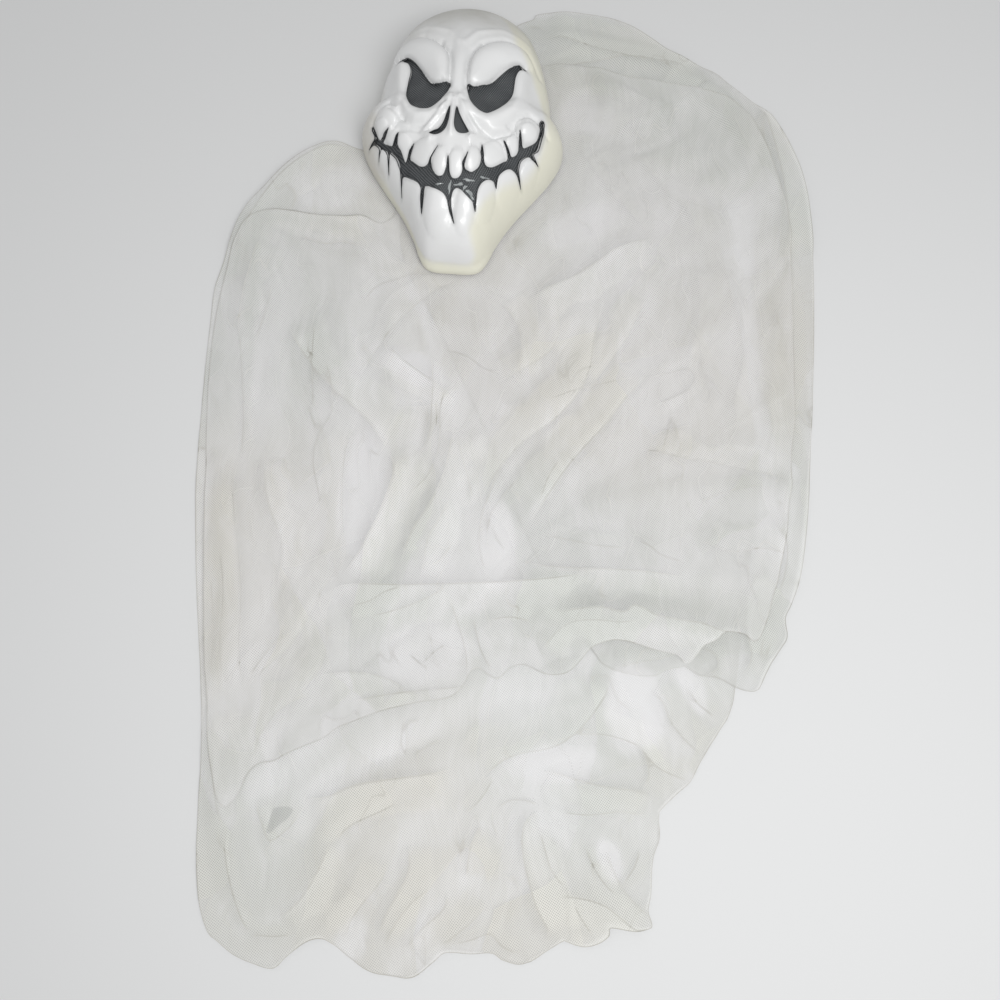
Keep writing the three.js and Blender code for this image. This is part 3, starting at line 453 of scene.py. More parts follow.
def use_modifier(piece, kind, **settings):
    """Adds a modifier to a piece and applies it."""
    bpy.context.view_layer.objects.active = piece
    modifier = piece.modifiers.new(kind.lower(), kind)
    for name, value in settings.items():
        setattr(modifier, name, value)
    bpy.ops.object.modifier_apply(modifier=modifier.name)


# the moulding blank is half a ball; its points are spread evenly and joined up round the holes
bpy.ops.mesh.primitive_uv_sphere_add(segments=face_spokes, ring_count=2 * face_rings, radius=1)
mask_shell = bpy.context.object
mask_shell.name = "mask_skull"
ball = points_of(mask_shell)
ball = ball[ball[:, 2] > -1e-6]
spread = np.arccos(np.clip(ball[:, 2], -1, 1)) / (math.pi / 2)
# the spokes crowd at the pole, so only each second point is kept there, then only each eighth
thinned = np.ones(len(ball), bool)
for within, each in ((0.3, 2), (0.12, 8)):
    thinned &= (spread > within) | (np.arange(len(ball)) % each == 0)
ball, spread = ball[thinned], spread[thinned]
ball_turn = np.arctan2(ball[:, 0], ball[:, 1])
blank = np.column_stack([spread * np.sin(ball_turn), spread * np.cos(ball_turn)])


def on_blank(u, v):
    """Moves face points to the flat, evenly spread plan of the blank."""
    turn = np.arctan2(u, v)
    spread = np.arcsin(np.clip(np.hypot(u, v) / rim_reach(turn), 0, 1)) / (math.pi / 2)
    return np.column_stack([spread * np.sin(turn), spread * np.cos(turn)])


def off_blank(plan):
    """The face point for each point of the blank."""
    turn = np.arctan2(plan[:, 0], plan[:, 1])
    reach = rim_reach(turn) * np.sin(np.clip(np.hypot(*plan.T), 0, 1) * math.pi / 2)
    return reach * np.sin(turn), reach * np.cos(turn)


def from_holes(u, v, most):
    """Distance from the edge of the nearest hole, up to the most."""
    away = np.full(u.shape, most)
    for shape in hole_shapes:
        away = np.minimum(away, run_distance(u, v, shape, closed=True))
    return away


hole_margin = 0.3 * mm
clear = from_holes(*off_blank(blank), 1.0) > hole_margin
plan_points = [Vector(point) for point in blank[clear]]
hole_edges = []
for shape in hole_shapes:
    first = len(plan_points)
    plan_points += [Vector(point) for point in on_blank(shape[:, 0], shape[:, 1])]
    hole_edges += [(first + k, first + (k + 1) % len(shape)) for k in range(len(shape))]
joined, _, triangles, *_ = delaunay_2d_cdt(plan_points, hole_edges, [], 0, 1e-7)
joined = np.array([tuple(point) for point in joined])
triangles = np.array(triangles)
across, up = off_blank(joined)
middle_across, middle_up = across[triangles].mean(1), up[triangles].mean(1)
kept = np.ones(len(triangles), bool)
for shape in hole_shapes:
    kept &= depth_inside(middle_across, middle_up, shape) < 0
height = face_height(across, up)
flare = smooth(np.abs(np.arctan2(across, up)), *np.radians(lip_turns))
flare *= 1 - smooth(height, *lip_heights)
lip = 1 + chin_lip * flare / np.maximum(np.hypot(across, up), 1 * mm)
moulded = np.column_stack([across * lip, up * lip, height])
mask_shell.data.clear_geometry()
mask_shell.data.from_pydata(moulded.tolist(), [], triangles[kept].tolist())
mask_shell.data.validate()
use_modifier(mask_shell, "SOLIDIFY", thickness=mask_wall, offset=-1)

# how inked and how sprayed the plastic is at each point, from its place on the face
sprayed_outline = (
    (-76, 84), (-52, 118), (-4, 138), (28, 112), (42, 76), (50, 58), (62, 41), (71, 20), (76, -2),
    (72, -21), (64, -39), (49, -54), (33, -69), (22, -86), (16, -101), (16, -124), (-28, -124),
    (-36, -106), (-50, -78), (-66, -50), (-84, -30), (-90, 0), (-88, 30), (-82, 56),
)
spray_edge = (-9 * mm, 8 * mm)
spray_heights = (4 * mm, 24 * mm)
across, up, height = points_of(mask_shell).T
spray = smooth(depth_inside(across, up, rounded(sprayed_outline)), *spray_edge)
store(mask_shell, from_hole=from_holes(across, up, 9 * mm), spray=spray * smooth(height, *spray_heights))


def place_on_mask(piece):
    """Turns and moves a piece made round the middle of the face to the mask's place."""
    turn_matrix = Matrix.Rotation(math.radians(mask_lean), 4, "Z")
    piece.data.transform(Matrix.Translation(mask_place) @ turn_matrix)


place_on_mask(mask_shell)
bpy.ops.object.select_all(action="DESELECT")
mask_shell.select_set(True)
bpy.context.view_layer.objects.active = mask_shell
bpy.ops.object.shade_smooth_by_angle(angle=math.radians(sharp_edge))
mask_shell.select_set(False)

white_spray = (0.77, 0.775, 0.775)
bare_ivory = (0.76, 0.75, 0.635)
# painted shade: a darker tan for the mask's left edge, which faces away from the lamps
painted_shade_tan = (0.57, 0.545, 0.48)
# grey-tan for the crown: its own greyer plastic, darkened with painted shade where it slopes away from
# the lamps
crown_grey_and_shade = (0.34, 0.33, 0.275)
ink_black = (0.03, 0.034, 0.037)
blotches_to_metre, grains_to_metre = 38.0, 900.0
ink_width = (0.2 * mm, 0.6 * mm)
ink_fringe = 3.2 * mm
spray_fade = (0.1, 0.8)
crown_grey_shade_span = (0.345, 0.428)
left_shade_span = (-0.132, -0.112)
left_shade_strength = 0.75

skull_finish, shade, principled = new_finish("sprayed_ivory_plastic")
place = shade.on_piece()
blotches = shade.noise(place, blotches_to_metre, 3.0)
uneven = blotches - 0.5
grain = shade.noise(place, grains_to_metre, 2.0)
from_hole = shade.stored("from_hole") + uneven * (0.8 * mm)
inked = 1 - from_hole.between(*ink_width) * (0.75 + 0.25 * from_hole.between(0.0, ink_fringe))
towards_right = shade.node("ShaderNodeSeparateXYZ", Vector=place)
towards_crown = shade.node("ShaderNodeSeparateXYZ", Vector=place, out=1)
cover = (shade.stored("spray") + uneven * 0.5).between(*spray_fade)
# the mask's left edge is drawn darker tan: painted shade on the side away from the lamps
left_painted_shade = 1 - (towards_right + uneven * 0.03).between(*left_shade_span)
paint_and_shade = (left_painted_shade * left_shade_strength).mix(cover.mix(bare_ivory, white_spray), painted_shade_tan)
# the crown is drawn grey-tan: partly the plastic's own grey, partly painted shade where it slopes away
# from the lamps
paint_and_shade = (towards_crown + uneven * 0.035).between(*crown_grey_shade_span).mix(paint_and_shade, crown_grey_and_shade)
feed(principled, Base_Color=inked.mix(paint_and_shade, ink_black), Normal=grain.bump(0.1, 0.4 * mm),
     Roughness=0.32 + 0.12 * blotches + 0.2 * inked, Coat_Weight=0.35, Coat_Roughness=0.1)
mask_shell.data.materials.clear()
mask_shell.data.materials.append(skull_finish)
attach(mask_shell, "mask")
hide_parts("mask_shell")


# Nets behind the holes: four scraps of black mesh cloth, stretched across the hollow of the mask
# and hot-glued round their edges, so that the wearer sees out and the eyes look dark.
net_step = 1.3 * mm
net_drop = 2.3 * mm
net_reach = 3 * mm
net_share = 0.87
net_lowest = 4 * mm
net_patches = {
    "eye_net_left": (
        (-68, 67), (-39, 58), (-7, 27), (-5, 6), (-14, -9), (-27, -13), (-46, -10), (-55, 8), (-57, 31),
    ),
    "eye_net_right": (
        (2, 26), (15, 26), (32, 47), (49, 61), (62, 54), (54, 28), (51, 5), (40, -9), (24, -15),
        (10, -9), (3, 4),
    ),
    "nose_net": (
        (-7.5, -4), (1, -4.6), (6.6, -12), (13.7, -23), (12, -33), (0, -34), (-18, -33), (-27, -29),
        (-26, -22), (-17, -15),
    ),
    "grin_net": (
        (-85, 9), (-73, 8), (-61, -11.5), (-49, -19), (-34, -33), (-19, -37), (14, -37), (28, -34),
        (40, -26), (53, -11.5), (66, 6), (78, 8), (79, -33), (62, -54), (39, -67), (24, -88), (0, -99),
        (-31, -92), (-52, -67), (-66, -48), (-86, -23),
    ),
}


def cut_sheet(name, run, step):
    """A flat sheet cut to a closed run of points, with its border on the run."""
    low, high = run.min(0), run.max(0)
    across, up = np.ceil((high - low) / step).astype(int)
    bpy.ops.mesh.primitive_grid_add(x_subdivisions=int(across), y_subdivisions=int(up), size=1)
    sheet = bpy.context.object
    sheet.name = name
    flat = points_of(sheet)
    flat[:, :2] = low + (flat[:, :2] + 0.5) * (high - low)
    move_points(sheet, flat)
    outside = depth_inside(flat[:, 0], flat[:, 1], run) < -0.2 * step
    bpy.ops.object.mode_set(mode="EDIT")
    bpy.ops.mesh.select_mode(type="VERT")
    bpy.ops.mesh.select_all(action="DESELECT")
    bpy.ops.object.mode_set(mode="OBJECT")
    sheet.data.vertices.foreach_set("select", outside)
    bpy.ops.object.mode_set(mode="EDIT")
    bpy.ops.mesh.delete(type="VERT")
    bpy.ops.mesh.select_all(action="SELECT")
    bpy.ops.mesh.region_to_loop()
    bpy.ops.object.mode_set(mode="OBJECT")
    flat = points_of(sheet)
    border = np.zeros(len(flat), bool)
    sheet.data.vertices.foreach_get("select", border)
    along = np.roll(run, -1, 0) - run
    for k in np.flatnonzero(border):
        t = np.clip(((flat[k, :2] - run) * along).sum(1) / np.maximum((along**2).sum(1), 1e-12), 0, 1)
        near = run + t[:, None] * along
        flat[k, :2] = near[np.argmin(((near - flat[k, :2]) ** 2).sum(1))]
    bpy.ops.object.shade_smooth()
    sheet.select_set(False)
    return sheet, flat


def behind_face(u, v):
    """Height of the nets' seat, under the lowest of the face just round each point."""
    lowest = face_height(u, v)
    for turn in np.arange(8) * math.pi / 4:
        near = face_height(u + net_reach * math.cos(turn), v + net_reach * math.sin(turn))
        lowest = np.minimum(lowest, near)
    return lowest - net_drop


net_black = (0.028, 0.032, 0.036)
net_gap = (0.21, 0.22, 0.225)
dusty_gap = (0.075, 0.08, 0.084)
net_pitch = 1.35 * mm
net_slant = 0.7
thread_width = (0.06, 0.34)
dust_to_metre = 60.0

net_finish, shade, principled = new_finish("black_mesh_cloth")
place = shade.on_piece()
slanted = shade.turned(place, net_slant, (1.0, 0.72, 1.0))
threads = 1 - shade.cell_walls(slanted, net_pitch, 0.15).between(*thread_width)
dust = shade.noise(place, dust_to_metre, 2.0)
feed(principled, Base_Color=threads.mix(dust.mix(net_gap, dusty_gap), net_black),
     Roughness=0.55 + 0.2 * dust, Normal=threads.bump(0.6, 0.3 * mm))

for name, outline in net_patches.items():
    run = rounded(outline, 4)
    limit = net_share * rim_reach(np.arctan2(run[:, 0], run[:, 1])) / np.hypot(*run.T)
    run *= np.minimum(1, limit)[:, None]
    net, flat = cut_sheet(name + "_cloth", run, net_step)
    flat[:, 2] = np.maximum(behind_face(flat[:, 0], flat[:, 1]), net_lowest)
    move_points(net, flat)
    place_on_mask(net)
    net.data.materials.append(net_finish)
    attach(net, "mask")
    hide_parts(name)


# Hot glue: a bead round the back of each net, and a few smears that squeezed through the grin's
# net and set clear and shiny.
glue_smears = (
    (5, -68.5, 8, 2.0, 12), (13, -64.5, 9, 1.8, 4), (-3, -71, 9, 2.2, 85), (15, -75, 8, 3.6, -42),
    (10, -71.5, 5, 2.4, 50), (26, -58.5, 8, 1.5, 12), (-12, -70, 6, 1.4, 5),
)
smear_height = 0.9 * mm
clear_glue = (0.62, 0.66, 0.66)
ripples_to_metre = 420.0

glue_finish, shade, principled = new_finish("clear_hot_glue")
place = shade.on_piece()
ripples = shade.noise(place, ripples_to_metre, 2.0)
feed(principled, Base_Color=clear_glue, Roughness=0.08 + 0.14 * ripples, Alpha=0.35 + 0.4 * ripples,
     Normal=ripples.bump(0.5, 0.6 * mm), Coat_Weight=0.6)
smears = []
for across, up, long, wide, turn in glue_smears:
    bpy.ops.mesh.primitive_uv_sphere_add(segments=28, ring_count=14, radius=1)
    smear = bpy.context.object
    x, y, z = points_of(smear).T
    around = np.arctan2(y, x)
    ragged = 1 + 0.28 * np.sin(3 * around + across) + 0.16 * np.sin(5 * around + up)
    u, v = turned_back(x * long * ragged * mm / 2, y * wide * ragged * mm / 2, -turn)
    u, v = u + across * mm, v + up * mm
    move_points(smear, np.column_stack([u, v, behind_face(u, v) + (z + 0.6) * smear_height / 2]))
    bpy.ops.object.shade_smooth()
    place_on_mask(smear)
    smears.append(smear)
for smear in smears:
    smear.select_set(True)
bpy.context.view_layer.objects.active = smears[0]
bpy.ops.object.join()
smears[0].name = "grin_glue_smears"
smears[0].data.materials.append(glue_finish)
smears[0].select_set(False)
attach(smears[0], "mask")
for name in ("eye_glue_left", "eye_glue_right", "nose_glue", "grin_glue"):
    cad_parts[name].material_slots[0].material = glue_finish


# Gown: white nylon netting laid in three sheets, an inner gown down to the hem, the hood's veil
# down the right and an outer cape that ends in a cut, wavy hem half way down. The net was bunched
# in its box, so it lies in soft overlapping folds with sharp creases between them.
cloth_step = 2 * mm
map_step = 2 * mm
map_x = np.arange(-294, 296, 2) * mm
map_y = np.arange(-450, 452, 2) * mm
map_across, map_up = np.meshgrid(map_x, map_y)
layer_gap = 0.45 * mm
first_height = 0.5 * mm
sag_blur = 5 * mm
hem_overlap = 3 * mm


def on_table(points, height=7 * mm):
    """Puts points of the photograph, 1000 across and down, on the table through the camera."""
    right, down = (np.array(points, float) - frame_pixels / 2).T
    tilt = math.radians(camera_tilt)
    share = (camera_place[2] - height) / (down * math.sin(tilt) + focal_pixels * math.cos(tilt))
    up = share * (focal_pixels * math.sin(tilt) - down * math.cos(tilt))
    return np.stack([camera_place[0] + share * right, camera_place[1] + up], -1)


def flowing(points, steps=4):
    """An open run of points, rounded through them."""
    points = np.array(points, float)
    ends = np.vstack([2 * points[0] - points[1], points, 2 * points[-1] - points[-2]])
    run = []
    for a, b, c, d in zip(ends, ends[1:], ends[2:], ends[3:]):
        for t in np.arange(steps) / steps:
            run.append(0.5 * (2 * b + (c - a) * t + (2 * a - 5 * b + 4 * c - d) * t**2
                              + (3 * b - a - 3 * c + d) * t**3))
    return np.vstack([run, points[-1]])


def beside_run(u, v, run):
    """Distance from a run, positive on its left, its heading there and the share along it."""
    best = np.full(u.shape, 9.0)
    side = np.zeros(u.shape)
    heading = np.zeros(u.shape)
    share = np.zeros(u.shape)
    lengths = np.hypot(*np.diff(run, axis=0).T)
    so_far = np.concatenate([[0], np.cumsum(lengths)])
    for k, ((ax, ay), (bx, by)) in enumerate(zip(run[:-1], run[1:])):
        dx, dy = bx - ax, by - ay
        t = np.clip(((u - ax) * dx + (v - ay) * dy) / max(dx * dx + dy * dy, 1e-12), 0, 1)
        away = np.hypot(u - ax - t * dx, v - ay - t * dy)
        nearer = away < best
        best[nearer] = away[nearer]
        side[nearer] = np.sign(dx * (v - ay) - dy * (u - ax))[nearer]
        heading[nearer] = math.atan2(dy, dx)
        share[nearer] = ((so_far[k] + t * lengths[k]) / so_far[-1])[nearer]
    return best * np.where(side == 0, 1, side), heading, share


# kinds of fold: rise, width of the steep side and of the soft side in millimetres, thickening
# of the net on the soft side, strength of the painted shade line that the crease draws
deep = (7.0, 11.0, 32, 0.46, 0.48)
fold = (4.2, 8.5, 21, 0.34, 0.42)
crease = (1.7, 4.5, 10, 0.20, 0.48)
pinch = (0.9, 2.2, 3.0, 0.08, 0.52)

# each fold follows points of the photograph, with its soft side on the left of its way
gown_folds = (
    (deep, (478, 782), (500, 762), (520, 753), (548, 748), (570, 737), (590, 717), (605, 695),
     (613, 672)),
    (fold, (560, 735), (600, 734), (630, 742), (643, 752), (649, 775), (640, 795)),
    (fold, (655, 802), (640, 792), (600, 786), (560, 775), (540, 770)),
    (deep, (545, 812), (528, 818), (522, 835), (524, 860), (530, 885), (537, 908), (548, 930),
     (546, 945)),
    (pinch, (498, 811), (508, 802), (525, 801), (540, 806)),
    (crease, (540, 830), (545, 850), (552, 872), (566, 890)),
    (crease, (585, 845), (594, 868), (606, 886), (618, 896)),
    (deep, (652, 931), (635, 929), (620, 917), (600, 903), (570, 897), (556, 900)),
    (fold, (650, 918), (636, 905), (622, 888), (612, 868), (606, 852)),
    (crease, (641, 850), (634, 870), (622, 886)),
    (fold, (650, 690), (663, 702), (670, 720), (685, 740), (703, 756)),
    (crease, (690, 690), (697, 702), (706, 710), (716, 718)),
    (fold, (640, 745), (655, 765), (672, 775), (692, 782)),
    (deep, (455, 770), (420, 775), (380, 780), (352, 786), (330, 796), (300, 802)),
    (crease, (335, 841), (350, 826), (380, 812), (402, 800)),
    (fold, (253, 798), (262, 825), (270, 841), (290, 826), (306, 804)),
    (fold, (408, 842), (409, 870), (400, 890), (386, 915), (378, 938)),
    (fold, (450, 893), (442, 912), (422, 930), (404, 952)),
    (crease, (432, 888), (410, 905), (392, 930), (384, 950)),
    (fold, (438, 947), (455, 935), (472, 921), (488, 903)),
    (crease, (450, 945), (470, 941), (490, 935), (502, 948), (522, 956)),
    (crease, (466, 815), (482, 798), (494, 778)),
    (fold, (480, 826), (470, 850), (466, 880)),
    (fold, (344, 944), (350, 922), (364, 902), (380, 882), (388, 860)),
    (crease, (248, 936), (270, 938), (292, 936)),
    (crease, (222, 830), (226, 870), (236, 910), (250, 940)),
    (fold, (330, 842), (318, 870), (300, 900), (276, 922)),
    (fold, (560, 812), (590, 815), (622, 812), (650, 818)),
    (crease, (592, 935), (582, 920), (574, 905)),
    (fold, (215, 700), (212, 740), (214, 790), (222, 830)),
    (deep, (357, 148), (330, 146), (305, 156), (280, 176), (258, 204), (240, 236), (228, 270)),
)
veil_folds = (
    (deep, (540, 34), (570, 40), (600, 50), (640, 60), (675, 64), (700, 76)),
    (fold, (548, 74), (580, 63), (620, 58), (650, 60), (690, 77)),
    (deep, (612, 137), (625, 125), (650, 115), (670, 105), (688, 95), (700, 85), (716, 74)),
    (crease, (612, 137), (600, 137), (580, 137), (562, 146)),
    (crease, (562, 150), (545, 170), (530, 185), (520, 203), (512, 225), (505, 240), (497, 254)),
    (crease, (557, 165), (549, 190), (546, 212), (540, 235)),
    (fold, (580, 150), (600, 175), (615, 195), (632, 215), (652, 236)),
    (fold, (632, 150), (650, 170), (668, 192), (690, 215), (700, 240)),
    (crease, (548, 237), (570, 220), (592, 198)),
    (deep, (755, 96), (766, 118), (776, 150), (784, 185), (788, 221), (790, 260)),
    (fold, (697, 262), (700, 300), (697, 330), (688, 362)),
    (fold, (736, 290), (745, 340), (742, 372), (735, 400), (739, 432)),
    (fold, (774, 340), (760, 375), (768, 402), (775, 440)),
    (fold, (790, 470), (784, 515), (788, 556), (778, 600)),
    (fold, (690, 92), (720, 110), (744, 145), (752, 190)),
    (crease, (650, 90), (680, 120), (690, 150), (684, 176)),
    (fold, (560, 90), (600, 88), (640, 95), (668, 118)),
    (fold, (770, 560), (750, 590), (745, 625), (752, 655), (742, 680)),
    (crease, (700, 646), (716, 655), (718, 668), (706, 676)),
    (fold, (612, 668), (640, 662), (672, 655), (700, 640)),
)
cape_folds = (
    (deep, (286, 322), (305, 355), (320, 375), (340, 395), (357, 410), (374, 428), (390, 452)),
    (deep, (388, 450), (395, 470), (385, 500), (372, 530), (358, 555), (342, 576)),
    (fold, (336, 578), (346, 555), (343, 530), (342, 500), (343, 470), (348, 440), (357, 420)),
    (pinch, (306, 404), (315, 425), (323, 431)),
    (pinch, (333, 396), (330, 415), (320, 430), (314, 450), (313, 465), (317, 485), (321, 508)),
    (pinch, (315, 322), (313, 360), (312, 412)),
    (pinch, (326, 362), (333, 385), (332, 414)),
    (pinch, (272, 284), (262, 320), (254, 342)),
    (crease, (239, 322), (242, 380), (243, 420), (240, 462)),
    (fold, (358, 376), (372, 356), (386, 337), (402, 318), (420, 302), (440, 287), (456, 276)),
    (crease, (363, 304), (375, 286), (395, 280), (415, 273), (440, 270)),
    (fold, (456, 402), (430, 380), (402, 359), (384, 344)),
    (pinch, (448, 349), (470, 358), (485, 369), (502, 373)),
    (crease, (431, 352), (433, 380), (432, 402), (430, 430), (424, 446), (416, 456)),
    (crease, (457, 380), (445, 393), (440, 412), (440, 432), (437, 456), (427, 476), (414, 489),
     (402, 502)),
    (deep, (454, 425), (446, 468), (433, 500), (418, 522), (408, 542), (400, 566)),
    (fold, (452, 496), (438, 522), (428, 540), (424, 562), (420, 580)),
    (crease, (457, 436), (466, 470), (473, 500)),
    (pinch, (503, 466), (491, 490), (482, 515), (479, 540), (482, 560), (487, 580)),
    (crease, (520, 478), (506, 492), (492, 512), (486, 536)),
    (pinch, (452, 543), (441, 559), (430, 566)),
    (deep, (657, 240), (620, 249), (600, 262), (575, 278), (550, 290), (526, 302)),
    (deep, (478, 508), (490, 482), (505, 462), (525, 441), (552, 422), (575, 398), (589, 370),
     (593, 342), (604, 298)),
    (deep, (526, 526), (545, 500), (562, 474), (583, 449), (603, 428), (620, 405), (638, 385),
     (652, 368)),
    (fold, (588, 390), (603, 370), (625, 340), (636, 318), (648, 296)),
    (fold, (494, 384), (512, 376), (531, 365), (551, 350), (559, 330), (555, 306)),
    (pinch, (543, 401), (560, 397), (580, 390), (605, 384), (634, 379)),
    (crease, (648, 379), (668, 373), (688, 369), (695, 378), (688, 390), (672, 398), (654, 407)),
    (fold, (636, 448), (680, 458), (720, 464), (760, 473), (790, 479)),
    (crease, (698, 502), (730, 491), (764, 484)),
    (pinch, (673, 412), (666, 435), (661, 452)),
    (pinch, (671, 414), (677, 435), (681, 452)),
    (crease, (543, 534), (575, 541), (600, 546), (628, 548)),
    (fold, (690, 578), (640, 571), (600, 569), (545, 566), (520, 560)),
    (pinch, (638, 539), (652, 548), (664, 556), (686, 562)),
    (deep, (596, 572), (560, 577), (530, 580), (480, 583), (440, 584), (400, 585), (355, 584),
     (335, 588), (322, 598)),
    (fold, (298, 694), (320, 668), (328, 640), (326, 612), (334, 592)),
    (fold, (246, 688), (265, 668), (285, 650), (300, 632), (312, 608), (326, 584), (340, 560)),
    (pinch, (294, 631), (275, 642), (262, 658), (249, 678)),
    (crease, (348, 607), (370, 601), (385, 592), (402, 587)),
    (fold, (452, 584), (425, 599), (395, 610), (368, 617)),
    (crease, (449, 596), (460, 630), (466, 655), (467, 682)),
    (pinch, (473, 616), (480, 648), (492, 672)),
    (pinch, (409, 654), (418, 662), (428, 671)),
    (pinch, (423, 663), (434, 652), (446, 644)),
    (deep, (760, 642), (742, 634), (722, 631), (700, 623), (680, 620), (655, 615), (642, 608),
     (632, 605), (622, 612), (600, 607), (575, 609), (560, 611), (542, 604)),
    (fold, (642, 619), (620, 622), (600, 620), (575, 621), (560, 629), (548, 642), (540, 656)),
    (deep, (242, 696), (240, 640), (243, 600), (240, 560), (236, 520), (232, 465)),
    (crease, (224, 690), (222, 640), (225, 590), (220, 540)),
    (crease, (212, 680), (214, 630), (210, 570)),
    (fold, (386, 216), (340, 216), (300, 214), (280, 212), (256, 216)),
    (crease, (298, 235), (325, 243), (340, 240), (364, 247)),
    (fold, (264, 236), (250, 270), (242, 300), (237, 336)),
    (fold, (420, 272), (400, 262), (380, 240), (362, 212), (350, 180)),
    (fold, (264, 452), (268, 500), (282, 545), (276, 590)),
    (crease, (470, 686), (430, 690), (390, 694), (350, 702)),
    (crease, (488, 620), (510, 617), (530, 621)),
    (fold, (500, 300), (516, 322), (522, 350), (516, 376)),
    (crease, (560, 460), (548, 478), (540, 500)),
    (fold, (700, 540), (730, 552), (764, 548), (792, 556)),
    (fold, (420, 700), (390, 680), (352, 672), (318, 676)),
    (fold, (252, 764), (262, 730), (284, 706), (312, 694)),
)
# the hem of each sheet, in points of the photograph
gown_outline = (
    (357, 145), (338, 141), (318, 145), (298, 155), (281, 169), (264, 187), (249, 201), (237, 219),
    (227, 246), (217, 273), (212, 290), (207, 330), (200, 400), (194, 480), (193, 560), (196, 640),
    (200, 720), (199, 760), (196, 800), (194, 850), (196, 900), (205, 933), (215, 943), (230, 956),
    (249, 965), (271, 971), (286, 958), (306, 943), (321, 940), (333, 948), (348, 961), (367, 973),
    (387, 979), (412, 980), (434, 963), (446, 954), (472, 956), (492, 956), (505, 964), (524, 967),
    (550, 952), (563, 943), (568, 944), (585, 949), (600, 944), (610, 936), (611, 928), (634, 931),
    (653, 930), (649, 912), (652, 896), (653, 873), (655, 857), (661, 841), (660, 818), (663, 810),
    (679, 794), (692, 783), (700, 767), (715, 741), (731, 715), (737, 690), (742, 640), (752, 560),
    (758, 470), (742, 330), (700, 180), (640, 100), (560, 70), (470, 120), (400, 150),
)
veil_outline = (
    (484, 40), (517, 22), (533, 16), (538, 11), (561, 10), (581, 12), (607, 16), (628, 23), (652, 37),
    (670, 50), (689, 59), (714, 68), (731, 81), (751, 97), (768, 111), (783, 130), (794, 150),
    (804, 175), (811, 210), (815, 260), (816, 330), (815, 400), (812, 460), (808, 520), (802, 570),
    (794, 602), (787, 618), (789, 637), (782, 650), (772, 664), (766, 676), (760, 690), (750, 692),
    (737, 688), (725, 681), (714, 677), (700, 676), (688, 668), (682, 667), (665, 671), (655, 676),
    (640, 676), (620, 672), (606, 666), (596, 655), (560, 600), (520, 520), (490, 440), (440, 330),
    (400, 240), (420, 120),
)
cape_outline = (
    (460, 110), (500, 70), (540, 62), (600, 70), (668, 84), (722, 96), (752, 118), (768, 152), (780, 188),
    (788, 222), (792, 262), (795, 330), (795, 420), (790, 500), (782, 560), (770, 610), (757, 641),
    (742, 634), (724, 632), (715, 640), (703, 646), (696, 655), (686, 664), (676, 655), (655, 650),
    (630, 642), (614, 640), (601, 643), (591, 648), (581, 660), (568, 672), (552, 675), (540, 672),
    (525, 665), (512, 667), (505, 673), (497, 679), (487, 674), (478, 668), (470, 672), (464, 684),
    (450, 697), (420, 702), (392, 708), (372, 714), (352, 722), (337, 728), (322, 739), (302, 747),
    (284, 755), (272, 762), (256, 765), (245, 777), (237, 796), (222, 806), (212, 770), (206, 700),
    (203, 600), (204, 500), (206, 400), (212, 330), (222, 280), (234, 244), (252, 217), (280, 212),
    (320, 216), (360, 216), (392, 214),
)
# thin places and thick places in the net: middle and half sizes in the photograph, turn, amount
thin_places = (
    (634, 712, 30, 44, 0, 0.85), (366, 492, 24, 66, 8, 0.6), (412, 366, 46, 16, 28, 0.5),
    (350, 944, 17, 24, 20, 0.5), (610, 862, 12, 20, -15, 0.7), (496, 545, 20, 44, 0, 0.5),
    (582, 224, 46, 18, -25, 0.45), (590, 114, 34, 24, 0, 0.35), (694, 690, 11, 26, -25, 0.6),
    (330, 184, 42, 26, -10, 0.4), (560, 765, 50, 18, 0, 0.45), (428, 655, 46, 30, 0, 0.3),
    (268, 380, 20, 66, 4, 0.3), (440, 400, 20, 16, 0, 0.3), (690, 188, 26, 16, 20, 0.3),
)
# thick places are denser and drawn darker with painted shade; thin places are sparser and lighter
thick_places = (
    (218, 580, 18, 120, 0, 0.5), (690, 88, 44, 26, 20, 0.45), (782, 320, 26, 190, 0, 0.4),
    (350, 622, 32, 18, -10, 0.4), (560, 628, 66, 18, 4, 0.35), (262, 880, 74, 76, 0, 0.3),
    (604, 912, 52, 20, 14, 0.45), (474, 910, 54, 26, -20, 0.3), (238, 240, 30, 50, 30, 0.35),
    (560, 30, 60, 16, 5, 0.35), (766, 600, 24, 60, 10, 0.4), (300, 370, 18, 40, -30, 0.25),
    (712, 140, 84, 66, 25, 0.55), (620, 70, 96, 42, 8, 0.5), (470, 640, 62, 26, -6, 0.4),
    (232, 752, 30, 40, 10, 0.4), (700, 606, 70, 30, 6, 0.35), (452, 880, 60, 30, -20, 0.35),
    (236, 930, 44, 26, 20, 0.3), (560, 880, 40, 40, 0, 0.3),
)


def filtered(field, kept_share):
    """A field over the table with each of its waves weakened by its number to the metre."""
    across = np.fft.fftfreq(field.shape[1], map_step)[None, :]
    up = np.fft.fftfreq(field.shape[0], map_step)[:, None]
    return np.fft.ifft2(np.fft.fft2(field) * kept_share(np.hypot(across, up))).real


def banded_noise(seed, wave):
    """Even noise over the table with swells of one wavelength, spread one either side of zero."""
    white = np.random.default_rng(seed).standard_normal(map_across.shape)
    noise = filtered(white, lambda number: np.exp(-((number * wave - 1) / 0.45) ** 2))
    return noise / noise.std()


def soften(field, reach):
    """Blurs a field over the table."""
    rows, columns = field.shape
    padded = np.pad(field, ((0, rows), (0, columns)), mode="symmetric")
    return filtered(padded, lambda number: np.exp(-2 * (math.pi * reach * number) ** 2))[:rows, :columns]


